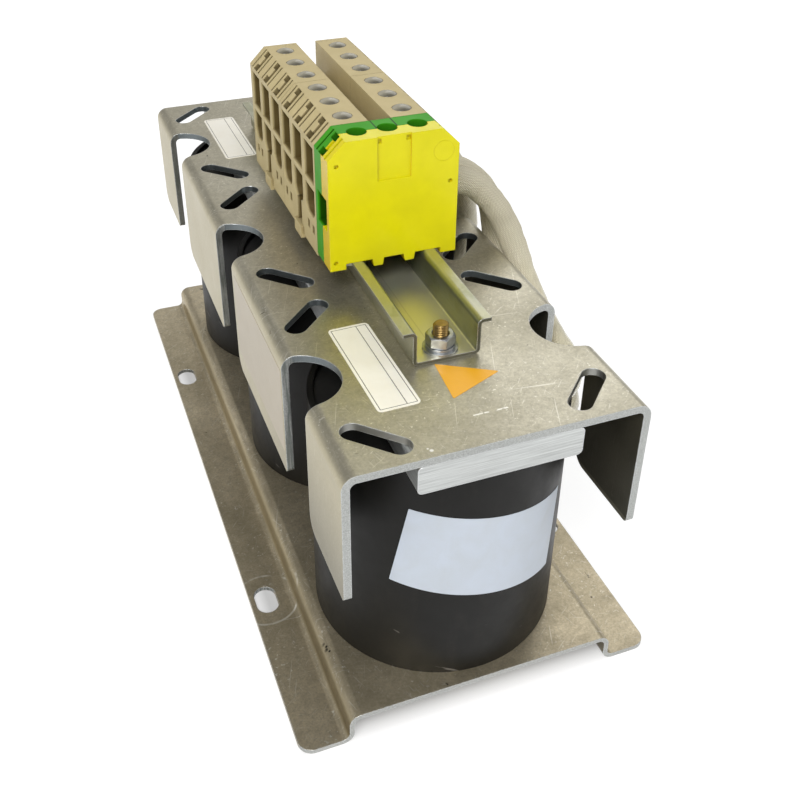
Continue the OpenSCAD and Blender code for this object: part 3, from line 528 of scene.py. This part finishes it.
def sleeve_finish(name, bright, shade, strand, length_m, round_m, varnish):
    """Braided sleeve that follows the lead; varnish soaks it and makes it glossy towards the coil."""
    b = Bench(name)
    u, v = b.axes(b.node("ShaderNodeUVMap", {"uv_map": "sleeve"}, {}))[:2]
    along = u * length_m
    around = v * round_m
    turn = math.pi / strand
    left = ((along * 0.55 + around) * turn).sine()
    right = ((along * 0.55 - around) * turn).sine()
    weave = abs(left) * abs(right)
    rib = abs((around * (turn * 0.5)).sine())
    worn = b.noise(90, 3, 0.6, 0.3)
    soaked = b.span(u + (worn - 0.5) * 0.25, varnish - 0.08, varnish + 0.08)
    tone = b.mix(weave * 0.75 + rib * 0.15 + 0.1, shade, bright)
    tone = b.mix(b.span(worn, 0.58, 0.80) * 0.3, tone, (0.52, 0.44, 0.28))
    tone = b.mix(soaked * 0.5, tone, (0.78, 0.72, 0.50))
    crease = b.noise(1.0, 3, 0.65, 0.8, b.laid((120, 120, 300)))
    height = weave * (1 - soaked * 0.4) * 0.9 + rib * 0.2 + crease * (soaked * 2.2 + 0.6)
    return b.done(base_color=tone, roughness=b.span(soaked, 0, 1, 0.78, 0.34), coat_weight=soaked * 0.9,
                  coat_roughness=0.10, normal=b.bump(height, 0.0007, 0.85))


def paper_finish(name, tone, lines=(), turn=0.0, centre=(0, 0), rough=0.45, crumple=0.0, spot=0.0,
                 gloss=0.0):
    """Label stock with faint handling marks.

    Lines are thin ruled strokes as two ends in X and two in Y, in the label's own plane.
    """
    b = Bench(name)
    age = b.span(b.noise(90, 4, 0.6, 0.5), 0.35, 0.75)
    shade = b.mix(age * 0.5, tone, tint(tint(tone, 0.90), (1.0, 0.97, 0.90)))
    if spot:
        shade = b.mix(b.span(b.noise(130, 4, 0.7, 0.4), 0.6, 0.78) * spot, shade, tint(tone, 0.7))
    if lines:
        at = b.node("ShaderNodeMapping", {"vector_type": "TEXTURE"}, {
            "Vector": b.place(), "Location": (centre[0], centre[1], 0), "Rotation": (0, 0, turn)})
        x, y = b.axes(at)[:2]
        ink = None
        for x0, x1, y0, y1 in lines:
            stroke = (x > x0) * (x < x1) * (y > y0) * (y < y1)
            ink = stroke if ink is None else b.largest(ink, stroke)
        shade = b.mix(ink * 0.85, shade, (0.02, 0.02, 0.022))
    height = b.noise(700, 2, 0.5) * 0.15 + b.noise(70, 3, 0.6, 0.5) * crumple
    return b.done(base_color=shade, roughness=rough, coat_weight=gloss, coat_roughness=0.18,
                  normal=b.bump(height, 0.0005, 0.35))


# Modelling helpers

def dress(finish, *names):
    """Gives CAD nodes their finish."""
    for name in names:
        node = NODES[name]
        if not node.material_slots:
            node.data.materials.append(finish)
        for slot in node.material_slots:
            slot.material = finish


def like(start):
    return [name for name in sorted(NODES) if name.startswith(start)]


def piece(name, bm, finish, replaces=(), smooth=SHARP):
    """Makes an object of a bmesh, at the origin and riding on the reactor."""
    mesh = bpy.data.meshes.new(name)
    bm.to_mesh(mesh)
    bm.free()
    return settle(name, mesh, finish, replaces, smooth)


def settle(name, mesh, finish, replaces=(), smooth=SHARP):
    """The same for a mesh, whose faces meet in a sharp edge past the smooth angle."""
    mesh.materials.clear()
    mesh.materials.append(finish)
    mesh.shade_smooth()
    mesh.set_sharp_from_angle(angle=smooth)
    made = bpy.data.objects.new(name, mesh)
    bpy.context.scene.collection.objects.link(made)
    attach(made, BODY)
    if replaces:
        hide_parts(*replaces)
    return made


def round_corners(bm, verts, offset, segments):
    bmesh.ops.bevel(bm, geom=verts, offset=offset, offset_type="OFFSET", affect="VERTICES",
                    segments=segments, profile=0.5, material=-1)


def slice_at(bm, place, way, clear=False):
    """Cuts a mesh by a plane, and clears what lies beyond it where that is asked for."""
    bmesh.ops.bisect_plane(bm, geom=bm.verts[:] + bm.edges[:] + bm.faces[:], plane_co=place, plane_no=way,
                           clear_outer=clear)


def oblong(x0, x1, y0, y1):
    return [(x0, y0), (x1, y0), (x1, y1), (x0, y1)]


def label_mesh(outline, radius, thickness, cuts=12):
    """Flat label with rounded corners, a top skin and a thin edge, from an outline in millimetres."""
    bm = bmesh.new()
    bm.faces.new([bm.verts.new((x * MM, y * MM, 0)) for x, y in outline])
    round_corners(bm, list(bm.verts), radius, 5)
    bmesh.ops.recalc_face_normals(bm, faces=bm.faces)
    if bm.faces[:][0].normal.z < 0:
        bmesh.ops.reverse_faces(bm, faces=bm.faces)
    low = [min(v.co[axis] for v in bm.verts) for axis in (0, 1)]
    high = [max(v.co[axis] for v in bm.verts) for axis in (0, 1)]
    for k in range(1, cuts):
        x, y = [a + (z - a) * k / cuts for a, z in zip(low, high)]
        slice_at(bm, (0, y, 0), (0, 1, 0))
        slice_at(bm, (x, 0, 0), (1, 0, 0))
    bmesh.ops.solidify(bm, geom=bm.faces[:], thickness=-thickness)
    return bm


# Operators

class REACTOR_OT_stage(bpy.types.Operator):
    """Puts up the floor, the lights, the surroundings and the camera"""

    bl_idname = "reactor.stage"
    bl_label = "Stage"

    def execute(self, context):
        s = context.scene.reactor.stage
        scene = context.scene
        scene.view_settings.view_transform = "Standard"

        lens = bpy.data.cameras.new("photo_camera")
        lens.lens = s.camera_lens
        lens.sensor_width = 36
        lens.shift_x, lens.shift_y = s.camera_shift
        lens.clip_start = 0.01
        camera = bpy.data.objects.new("photo_camera", lens)
        camera.location = s.camera_place
        camera.rotation_euler = s.camera_turn
        scene.collection.objects.link(camera)
        scene.camera = camera

        bm = bmesh.new()
        bmesh.ops.create_grid(bm, x_segments=1, y_segments=1, size=s.floor_size / 2,
                              matrix=Matrix.Translation((0, 0, FLOOR_Z)))
        mesh = bpy.data.meshes.new("floor")
        bm.to_mesh(mesh)
        bm.free()
        floor = bpy.data.objects.new("floor", mesh)
        scene.collection.objects.link(floor)
        mesh.materials.append(self.floor_finish())

        aim = Vector((0, 0, 0.1))
        for name, power, size, place in (
                ("key_light", s.key_power, 0.9, (-0.78, -1.2, 1.65)),
                ("fill_light", s.fill_power, 1.0, (1.5, -0.7, 0.9)),
                ("back_light", s.back_power, 1.3, (0.95, 1.25, 1.35))):
            lamp = bpy.data.lights.new(name, "AREA")
            lamp.energy = power
            lamp.size = size
            light = bpy.data.objects.new(name, lamp)
            light.location = place
            light.rotation_euler = (aim - Vector(place)).to_track_quat("-Z", "Y").to_euler()
            scene.collection.objects.link(light)

        world = bpy.data.worlds.new("surroundings")
        world.use_nodes = True
        scene.world = world
        b = Bench("surroundings", world.node_tree)
        height = b.axes(b.node("ShaderNodeTexCoord", {}, {}, "Generated"))[2]
        glow = b.mix(b.span(height, 0.35, 0.85), (1.0, 0.99, 0.96), (0.42, 0.42, 0.42))
        seen = b.node("ShaderNodeLightPath", {}, {}, "Is Camera Ray")
        lit = world.node_tree.nodes["Background"]
        world.node_tree.links.new(glow.socket, lit.inputs["Color"])
        lit.inputs["Strength"].default_value = s.sky
        plain = b.node("ShaderNodeBackground", {}, {"Color": (1, 1, 1, 1), "Strength": 1.0})
        both = b.node("ShaderNodeMixShader", {}, {0: seen, 1: Wire(b, lit.outputs[0]), 2: plain})
        world.node_tree.links.new(both.socket, world.node_tree.nodes["World Output"].inputs["Surface"])
        return {"FINISHED"}

    def floor_finish(self):
        """Pale floor that shows white to the eye and in metal, keeps a soft shadow, and has a painted shadow
        under the reactor.
        """
        b = Bench("pale_floor")
        b.done(base_color=(0.80, 0.80, 0.79), roughness=0.9)
        shader = Wire(b, b.tree.nodes["Principled BSDF"].outputs[0])
        path = b.node("ShaderNodeLightPath", {}, {}, "Is Camera Ray")
        ways = path.socket.node.outputs
        seen = b.largest(path, Wire(b, ways["Is Glossy Ray"]), Wire(b, ways["Is Transmission Ray"]))
        far = b.node("ShaderNodeVectorMath", {"operation": "LENGTH"}, {0: b.place()}, "Value")
        x, y = b.axes(b.place())[:2]
        # Painted shadow: the floor's glow drops under the reactor's footprint and fades out just past its
        # edge
        past = b.largest(abs(x) - CAD_BOX[1][0], abs(y) - CAD_BOX[1][1])
        level = b.span(far, 0.25, 1.1, 0.80, 1.0) * b.span(past, -0.008, 0.001, 0.35, 1.0)
        soft = b.node("ShaderNodeBsdfDiffuse", {}, {"Color": (0.32, 0.32, 0.32, 1)})
        white = b.mix(level, (0, 0, 0), (1, 1, 1))
        glow = b.node("ShaderNodeEmission", {}, {"Color": white, "Strength": 1.0})
        both = b.node("ShaderNodeAddShader", {}, {0: soft, 1: glow})
        mixed = b.node("ShaderNodeMixShader", {}, {0: seen, 1: shader, 2: both})
        b.tree.links.new(mixed.socket, b.tree.nodes["Material Output"].inputs["Surface"])
        return b.material


class REACTOR_OT_leads(bpy.types.Operator):
    """Sweeps the six sleeved leads along the routes of the part"""

    bl_idname = "reactor.leads"
    bl_label = "Sleeved leads"

    # Stations of a lead in millimetres: X, share of the way along Y, Z above the upper coil entry
    front_run = ((43.5, 0, 62.5), (51.5, 0, 56), (57.4, 0.02, 48.5), (61.2, 0.05, 41), (63.5, 0.13, 31),
                 (63.8, 0.28, 20.5), (63.8, 0.45, 14.2), (63.9, 0.58, 9.6), (64.8, 0.67, 6.6),
                 (65.6, 0.75, 4.1), (64.8, 0.829, 2.2), (61.9, 0.903, 0.8), (57, 0.963, 0.2), (52, 0.992, 0))
    second_run = ((44, 0, 62.3), (53, 0, 56.5), (59.5, 0.01, 48.5), (63.6, 0.02, 38), (64.6, 0.05, 22),
                  (64.2, 0.1, 7), (63.9, 0.2, -3), (63.8, 0.35, -8), (63.8, 0.5, -10.2),
                  (63.9, 0.66, -11.5), (64.8, 0.73, -11.9), (65.6, 0.79, -12.2), (64.8, 0.86, -12.4),
                  (61.9, 0.921, -12.5), (57, 0.97, -12.5), (52, 0.993, -12.5))
    middle_run = ((38, 0, 64.8), (42.5, 0, 62.3), (47, 0.03, 58.8), (51.5, 0.08, 53.5), (55, 0.15, 46.5),
                  (57.4, 0.25, 38.5), (58.9, 0.4, 29.5), (59.7, 0.55, 20), (59.5, 0.68, 12.5),
                  (58, 0.82, 6.2), (54.6, 0.93, 2.4), (50.8, 0.985, 0.5))
    lower_run = ((38.5, 0, 65), (44, 0, 62.5), (52, 0, 56.5), (58, 0, 48.5), (61.8, 0, 39.5), (64, 0, 29.5),
                 (65.2, 0.02, 19), (65.4, 0.08, 8.5), (64, 0.28, -1.2), (60.6, 0.6, -6.7),
                 (55.5, 0.87, -10.5), (51, 0.97, -12.1))
    # Height of the upper coil entry in millimetres
    entry = 100.5
    # Height of the sleeve's small lumps in metres, and share of the lead's length where its varnish begins
    lumps = 0.5 * MM
    varnish = 0.42
    # Terminal's and coil's place along Y, run, drop of the coil entry
    routes = ((-37.25, -111.5, front_run, 0), (-20.75, -111.5, second_run, 12.5), (-4.25, 0, middle_run, 0),
              (12.25, 0, lower_run, 12.5), (28.75, 111.5, second_run, 12.5), (45.25, 111.5, front_run, 0))

    def points(self, y0, y1, run, drop):
        """Stations in metres, from the clamp in the terminal to the end inside the pot."""
        stations = [(22, 0, 66), (33, 0, 66), *run, (47.3, 1, -drop), (43, 1, -drop)]
        return [Vector((x, y0 + (y1 - y0) * share, self.entry + z)) * MM for x, share, z in stations]

    def execute(self, context):
        s = context.scene.reactor.lead
        for k, (y0, y1, run, drop) in enumerate(self.routes, 1):
            name = "lead_%d" % k
            path = self.points(y0, y1, run, drop)
            curve = bpy.data.curves.new(name + "_line", "CURVE")
            curve.dimensions = "3D"
            curve.resolution_u = 10
            curve.bevel_depth = s.diameter / 2
            curve.bevel_resolution = 8
            curve.use_fill_caps = True
            spline = curve.splines.new("BEZIER")
            spline.bezier_points.add(len(path) - 1)
            for knot, co in zip(spline.bezier_points, path):
                knot.co = co
                knot.handle_left_type = knot.handle_right_type = "AUTO"
            line = bpy.data.objects.new(name + "_line", curve)
            context.scene.collection.objects.link(line)
            context.view_layer.update()
            total = spline.calc_length()
            mesh = bpy.data.meshes.new_from_object(line)
            mesh.uv_layers[0].name = "sleeve"
            self.close_ends(mesh)
            fine = self.centreline(spline)
            bpy.data.objects.remove(line)
            for vert in mesh.vertices:
                lump = noise.noise(vert.co * 75 + Vector((k, 0, 0))) + 0.6 * noise.noise(vert.co * 190)
                vert.co += vert.normal * self.lumps * lump
            finish = sleeve_finish("braided_sleeve_%d" % k, s.sleeve, s.shade, s.strand, total,
                                   math.pi * s.diameter, self.varnish)
            sleeve = settle(name + "_sleeve", mesh, finish, (name,), math.radians(60))
        return {"FINISHED"}

    def close_ends(self, mesh):
        """Joins the caps to the tube."""
        bm = bmesh.new()
        bm.from_mesh(mesh)
        bmesh.ops.remove_doubles(bm, verts=bm.verts, dist=0.01 * MM)
        bmesh.ops.recalc_face_normals(bm, faces=bm.faces)
        bm.to_mesh(mesh)
        bm.free()

    def centreline(self, spline):
        """Points close together along the spline."""
        knots = spline.bezier_points
        found = []
        for a, b in zip(knots, knots[1:]):
            found += interpolate_bezier(a.co, a.handle_right, b.handle_left, b.co, 8)[:-1]
        return found + [knots[-1].co.copy()]


class REACTOR_OT_metalwork(bpy.types.Operator):
    """Gives the sheet metal, the bar and the rail their finishes"""

    bl_idname = "reactor.metalwork"
    bl_label = "Metalwork"

    def execute(self, context):
        s = context.scene.reactor.metal
        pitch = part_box("coil_pot_middle")[0][1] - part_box("coil_pot_front")[0][1]
        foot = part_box("cover_plate")[0][2] + 2 * MM
        no_tabs = -10 * MM
        paint = (((-24.9 * MM, -163.5 * MM), 0.9 * MM, (0.96, 0.95, 0.92)),
                 ((-25.8 * MM, -162.3 * MM), 0.5 * MM, (0.96, 0.95, 0.92)))
        dashes = ((-4.7 * MM, 8.9 * MM, -151.4 * MM),)
        dress(sheet_finish("cover_sheet", s.sheet, s.sheet_dark, s.sheared, foot, pitch, paint, (), dashes),
              "cover_plate")
        warm = tint(s.sheet, (1.20, 1.11, 1.00))
        stain = tint(s.sheet_dark, (0.86, 0.80, 0.71))
        washer = (((-69 * MM, -88.5 * MM), 14 * MM, 0.6 * MM),)
        chips = [((x * MM, y * MM), r * MM, (0.012, 0.011, 0.01)) for x, y, r in (
            (-55.2, -129.2, 0.9), (-54.4, -131.0, 0.7), (-54.9, -132.3, 1.0), (-53.9, -133.8, 0.6))]
        dress(sheet_finish("base_sheet", warm, stain, s.sheared, no_tabs, pitch, chips, washer), "base_plate")
        dress(bar_finish("sawn_bar", s.bar), "clamp_bar")
        web_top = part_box("mounting_rail")[0][2] + RAIL_SHEET
        dress(rail_finish("passivated_rail", s.rail, s.rail_grey, web_top), "mounting_rail")
        return {"FINISHED"}


class REACTOR_OT_coils(bpy.types.Operator):
    """Gives the coils and what is inside them their finishes"""

    bl_idname = "reactor.coils"
    bl_label = "Coils"

    def execute(self, context):
        s = context.scene.reactor.plastic
        dress(pot_finish("coil_pot", s.pot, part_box("coil_pot_front")[0][2]), *like("coil_pot"))
        dress(resin_finish("cast_filling", (0.008, 0.0075, 0.007)), *like("coil_filling"))
        dress(resin_finish("iron_core", (0.16, 0.16, 0.16)), *like("coil_core"))
        dress(resin_finish("winding_former", (0.55, 0.48, 0.36)), *like("coil_former"))
        dress(winding_finish("enamelled_wire", (0.55, 0.27, 0.12)), *like("coil_winding"))
        dress(plated_finish("drawn_spacer", (0.55, 0.55, 0.55)), *like("bolt_spacer"))
        return {"FINISHED"}


class REACTOR_OT_terminals(bpy.types.Operator):
    """Gives the terminals their finishes and adds the ring moulded on the earth cover"""

    bl_idname = "reactor.terminals"
    bl_label = "Terminals"

    def execute(self, context):
        s = context.scene.reactor.plastic
        zinc = context.scene.reactor.metal.zinc
        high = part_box("terminal_block_rear")[1]
        pocket = (high[0], high[2] - 8.2 * MM, high[1] - 0.3 * MM)
        dress(moulded_finish("housing_beige", s.beige, 0.46, 0.95, pocket=pocket), *like("terminal_block"))
        dress(moulded_finish("plate_beige", s.beige, 0.46, 0.95), "row_end_plate", "block_latches")
        green = moulded_finish("earth_green", s.green, 0.36, 0.7, seam=4.2 * MM, pocket=pocket, gloss=0.1)
        dress(green, "earth_body")
        yellow = moulded_finish("earth_yellow", s.yellow, 0.20, 0.2, 0.8, gloss=0.3)
        dress(yellow, "earth_cover")
        dress(moulded_finish("cap_grey", s.cap, 0.16, 0.2, gloss=0.6, shaded=0.85), "screw_caps")
        steel = plated_finish("clamp_steel", (0.60, 0.60, 0.60))
        dress(steel, "terminal_cages", "terminal_screws", "earth_cages", "earth_screws")
        dress(plated_finish("foot_zinc", tint(zinc, 1.1), 0.3), "earth_rail_foot")
        copper = plated_finish("tinned_copper", (0.62, 0.45, 0.32), 0.3)
        dress(copper, "terminal_buses", "earth_bus", "lead_ferrules")
        self.ring(yellow)
        return {"FINISHED"}

    def ring(self, finish):
        """Thin ring high on the right of the earth cover, let into it so that it stands just proud."""
        radius = 4.4 * MM
        thick = 0.16 * MM
        proud = 0.02 * MM
        place = (20.4 * MM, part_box("earth_cover")[0][1] - proud, 191.8 * MM)
        bm = bmesh.new()
        bmesh.ops.create_circle(bm, segments=40, radius=radius)
        made = bmesh.ops.extrude_edge_only(bm, edges=bm.edges[:])
        inner = [v for v in made["geom"] if isinstance(v, bmesh.types.BMVert)]
        bmesh.ops.scale(bm, verts=inner, vec=(0.93, 0.93, 1))
        bmesh.ops.recalc_face_normals(bm, faces=bm.faces)
        bmesh.ops.solidify(bm, geom=bm.faces[:], thickness=thick)
        upright = Matrix.Rotation(math.radians(90), 3, "X")
        bmesh.ops.rotate(bm, verts=bm.verts, cent=(0, 0, 0), matrix=upright)
        bmesh.ops.translate(bm, verts=bm.verts, vec=place)
        bmesh.ops.recalc_face_normals(bm, faces=bm.faces)
        piece("earth_cover_ring", bm, finish)


class REACTOR_OT_fasteners(bpy.types.Operator):
    """Models the threaded bolts and the chamfered nuts, and finishes the washers"""

    bl_idname = "reactor.fasteners"
    bl_label = "Fasteners"

    def execute(self, context):
        s = context.scene.reactor.fastener
        metal = context.scene.reactor.metal
        zinc = plated_finish("bright_zinc", metal.zinc, 0.34)
        dress(zinc, "flat_washers", "spring_washers")
        self.nuts(s, zinc)
        self.bolts(s, plated_finish("passivated_bolt", metal.gold, 0.28, True))
        return {"FINISHED"}

    def stations(self):
        """Bolt axes along the row, from the pots."""
        return [sum(corner[1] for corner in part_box(name)) / 2 for name in like("coil_pot")]

    def nuts(self, s, finish):
        """Nuts turned in 60 steps, then drawn out to six flats under a 30 degree chamfer."""
        low, high = [corner[2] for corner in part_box("clamp_nuts")]
        flat = s.hex_af / 2
        ring = 0.95 * flat
        bore = s.thread_d / 2 + 0.04 * MM
        sink = 0.4 * MM
        profile = ((bore, low + sink), (bore + sink, low), (ring, low), (flat, low),
                   (flat, high), (ring, high), (bore + sink, high), (bore, high - sink))
        bm = bmesh.new()
        for y in self.stations():
            nut = bmesh.new()
            verts = [nut.verts.new((r, 0, z)) for r, z in profile]
            edges = [nut.edges.new(pair) for pair in zip(verts, verts[1:] + verts[:1])]
            bmesh.ops.spin(nut, geom=verts + edges, cent=(0, 0, 0), axis=(0, 0, 1), angle=math.tau,
                           steps=60, use_merge=True)
            for vert in nut.verts:
                if vert.co.xy.length > 0.5 * (ring + flat):
                    side = math.remainder(math.atan2(vert.co.y, vert.co.x), math.pi / 3)
                    far = flat / math.cos(side)
                    drop = (far - ring) * math.tan(math.radians(30))
                    vert.co.xy = vert.co.xy.normalized() * far
                    vert.co.z += drop if vert.co.z < 0.5 * (low + high) else -drop
            bmesh.ops.translate(nut, verts=nut.verts, vec=(0, y, 0))
            bmesh.ops.recalc_face_normals(nut, faces=nut.faces)
            self.join(bm, nut)
        piece("hex_nuts", bm, finish, ("clamp_nuts",), math.radians(20))

    def join(self, whole, part):
        """Moves one fastener into the mesh of all of them."""
        mesh = bpy.data.meshes.new("fastener")
        part.to_mesh(mesh)
        part.free()
        whole.from_mesh(mesh)
        bpy.data.meshes.remove(mesh)

    def bolts(self, s, finish):
        """Bolts with a rolled thread from inside the nut upwards, a plain shank and a hexagon head."""
        low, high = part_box("clamp_bolts")
        crest = s.thread_d / 2 - 0.02 * MM
        root = crest - s.thread_depth
        pitch = s.thread_pitch
        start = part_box("clamp_nuts")[1][2] - 2.5 * MM
        shank = low[2] + 3 * MM
        head = 4 * MM
        tip = 0.35 * MM
        turns = math.ceil((high[2] - start) / pitch) + 1
        steps = 28 * turns
        profile = ((root, 0.0), (crest, 0.42 * pitch), (crest, 0.58 * pitch), (root, pitch))
        bm = bmesh.new()
        for y in self.stations():
            bolt = bmesh.new()
            verts = [bolt.verts.new((r, y, start + z - pitch)) for r, z in profile]
            edges = [bolt.edges.new(pair) for pair in zip(verts, verts[1:])]
            bmesh.ops.spin(bolt, geom=verts + edges, cent=(0, y, 0), axis=(0, 0, 1), angle=math.tau * turns,
                           dvec=(0, 0, pitch * turns / steps), steps=steps)
            bmesh.ops.remove_doubles(bolt, verts=bolt.verts, dist=0.01 * MM)
            for height, side in ((start, -1), (high[2] - tip, 1)):
                slice_at(bolt, (0, 0, height), (0, 0, side), True)
                rim = [e for e in bolt.edges
                       if e.is_boundary and all(abs(v.co.z - height) < 1e-6 for v in e.verts)]
                ends = bmesh.ops.contextual_create(bolt, geom=rim)["faces"]
                if side > 0:
                    out = bmesh.ops.extrude_face_region(bolt, geom=ends)
                    rise = [v for v in out["geom"] if isinstance(v, bmesh.types.BMVert)]
                    bmesh.ops.delete(bolt, geom=ends, context="FACES_ONLY")
                    bmesh.ops.scale(bolt, verts=rise, vec=(0.84, 0.84, 1),
                                    space=Matrix.Translation((0, -y, 0)))
                    bmesh.ops.translate(bolt, verts=rise, vec=(0, 0, tip))
            bmesh.ops.create_cone(bolt, cap_ends=True, segments=32, radius1=crest, radius2=crest,
                                  depth=start - shank, matrix=Matrix.Translation((0, y, (start + shank) / 2)))
            before = set(bolt.verts)
            corner = s.hex_af / math.sqrt(3)
            bmesh.ops.create_cone(bolt, cap_ends=True, segments=6, radius1=corner, radius2=corner, depth=head,
                                  matrix=Matrix.Translation((0, y, low[2] + head / 2)))
            new = [v for v in bolt.verts if v not in before]
            round_corners(bolt, new, 0.5 * MM, 2)
            bmesh.ops.dissolve_degenerate(bolt, dist=0.002 * MM, edges=bolt.edges)
            bmesh.ops.recalc_face_normals(bolt, faces=bolt.faces)
            self.join(bm, bolt)
        piece("threaded_bolts", bm, finish, ("clamp_bolts",), math.radians(25))


class REACTOR_OT_labels(bpy.types.Operator):
    """Lays the blank labels, the three-cornered sticker and the paper on the front coil"""

    bl_idname = "reactor.labels"
    bl_label = "Labels"

    def execute(self, context):
        s = context.scene.reactor.label
        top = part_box("cover_plate")[1][2]
        for name, centre, turn in (("front_label", (-26.9, -111.4), 1.2),
                                   ("rear_label", (-27.8, 113.4), 0.3)):
            self.plate_label(name, s, top, centre, math.radians(turn))
        self.sticker(s, top)
        self.tab_label(s)
        self.coil_note(s)
        return {"FINISHED"}

    def plate_label(self, name, s, top, centre, turn):
        """White label on the plate, ruled with a frame and one line along it."""
        wide, tall = 16.4, 55.0
        bm = label_mesh(oblong(-wide / 2, wide / 2, -tall / 2, tall / 2), 2 * MM, s.thickness)
        spot = Matrix.Translation((centre[0] * MM, centre[1] * MM, top)) @ Matrix.Rotation(turn, 4, "Z")
        bmesh.ops.transform(bm, matrix=spot, verts=bm.verts)
        half = 0.16
        x = wide / 2 - 1.2
        y = tall / 2 - 1.3
        strokes = [(at - half, at + half, -y, y) for at in (-x, x, x - 3.9)]
        strokes += [(-x, x, at - half, at + half) for at in (-y, y)]
        lines = [tuple(c * MM for c in stroke) for stroke in strokes]
        finish = paper_finish(name + "_paper", s.paper, lines, turn, [c * MM for c in centre], 0.42,
                              gloss=0.7)
        piece(name, bm, finish)

    def sticker(self, s, top):
        """Plain three-cornered sticker on the plate."""
        corners = [(-5.4, -118.8), (-7.0, -140.4), (15.1, -130.9)]
        bm = label_mesh(corners, 0.7 * MM, s.thickness, 6)
        bmesh.ops.translate(bm, verts=bm.verts, vec=(0, 0, top))
        piece("amber_sticker", bm, paper_finish("amber_film", s.amber, rough=0.3))

    def tab_label(self, s):
        """Cream label on the outside of a left tab, a little wrinkled."""
        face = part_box("cover_plate")[0][0]
        bm = label_mesh(oblong(-94.6, -19.0, 88.0, 127.5), 1.0 * MM, s.thickness, 20)
        turn = Matrix(((0, 0, -1, face), (1, 0, 0, 0), (0, 1, 0, 0), (0, 0, 0, 1)))
        bmesh.ops.transform(bm, matrix=turn, verts=bm.verts)
        bmesh.ops.recalc_face_normals(bm, faces=bm.faces)
        finish = paper_finish("tab_paper", s.cream, rough=0.32, crumple=1.0, spot=0.3)
        piece("tab_label", bm, finish)

    def coil_note(self, s):
        """Sheet of paper wrapped on the front coil, cut by hand."""
        low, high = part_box("coil_pot_front")
        radius = (high[0] - low[0]) / 2
        axis = (low[1] + high[1]) / 2
        corners = [(-37.3, 63.0), (34.8, 48.6), (39.1, 86.6), (-30.2, 100.2)]
        bm = label_mesh(corners, 0.3 * MM, s.thickness, 36)
        for vert in bm.verts:
            arc, height, out = vert.co
            r = radius + out + 0.02 * MM
            vert.co = (r * math.sin(arc / radius), axis - r * math.cos(arc / radius), height)
        bmesh.ops.recalc_face_normals(bm, faces=bm.faces)
        piece("coil_note", bm, paper_finish("note_paper", s.note, rough=0.5, crumple=0.25))


class REACTOR_PT_panel(bpy.types.Panel):
    """Lists the reactor's pieces and its stage"""

    bl_idname = "REACTOR_PT_panel"
    bl_label = "Line reactor"
    bl_space_type = "VIEW_3D"
    bl_region_type = "UI"
    bl_category = "Reactor"

    def draw(self, context):
        for step in STEPS:
            self.layout.operator(step.bl_idname)


STEPS = (REACTOR_OT_stage, REACTOR_OT_leads, REACTOR_OT_metalwork, REACTOR_OT_coils, REACTOR_OT_terminals,
         REACTOR_OT_fasteners, REACTOR_OT_labels)
CLASSES = (StageSettings, MetalSettings, PlasticSettings, LeadSettings, FastenerSettings, LabelSettings,
           ReactorSettings, *STEPS, REACTOR_PT_panel)


def register():
    for cls in CLASSES:
        bpy.utils.register_class(cls)
    bpy.types.Scene.reactor = PointerProperty(type=ReactorSettings)


def unregister():
    del bpy.types.Scene.reactor
    for cls in reversed(CLASSES):
        bpy.utils.unregister_class(cls)


def main():
    register()
    for step in STEPS:
        group, name = step.bl_idname.split(".")
        getattr(getattr(bpy.ops, group), name)()


if __name__ == "__main__":
    main()
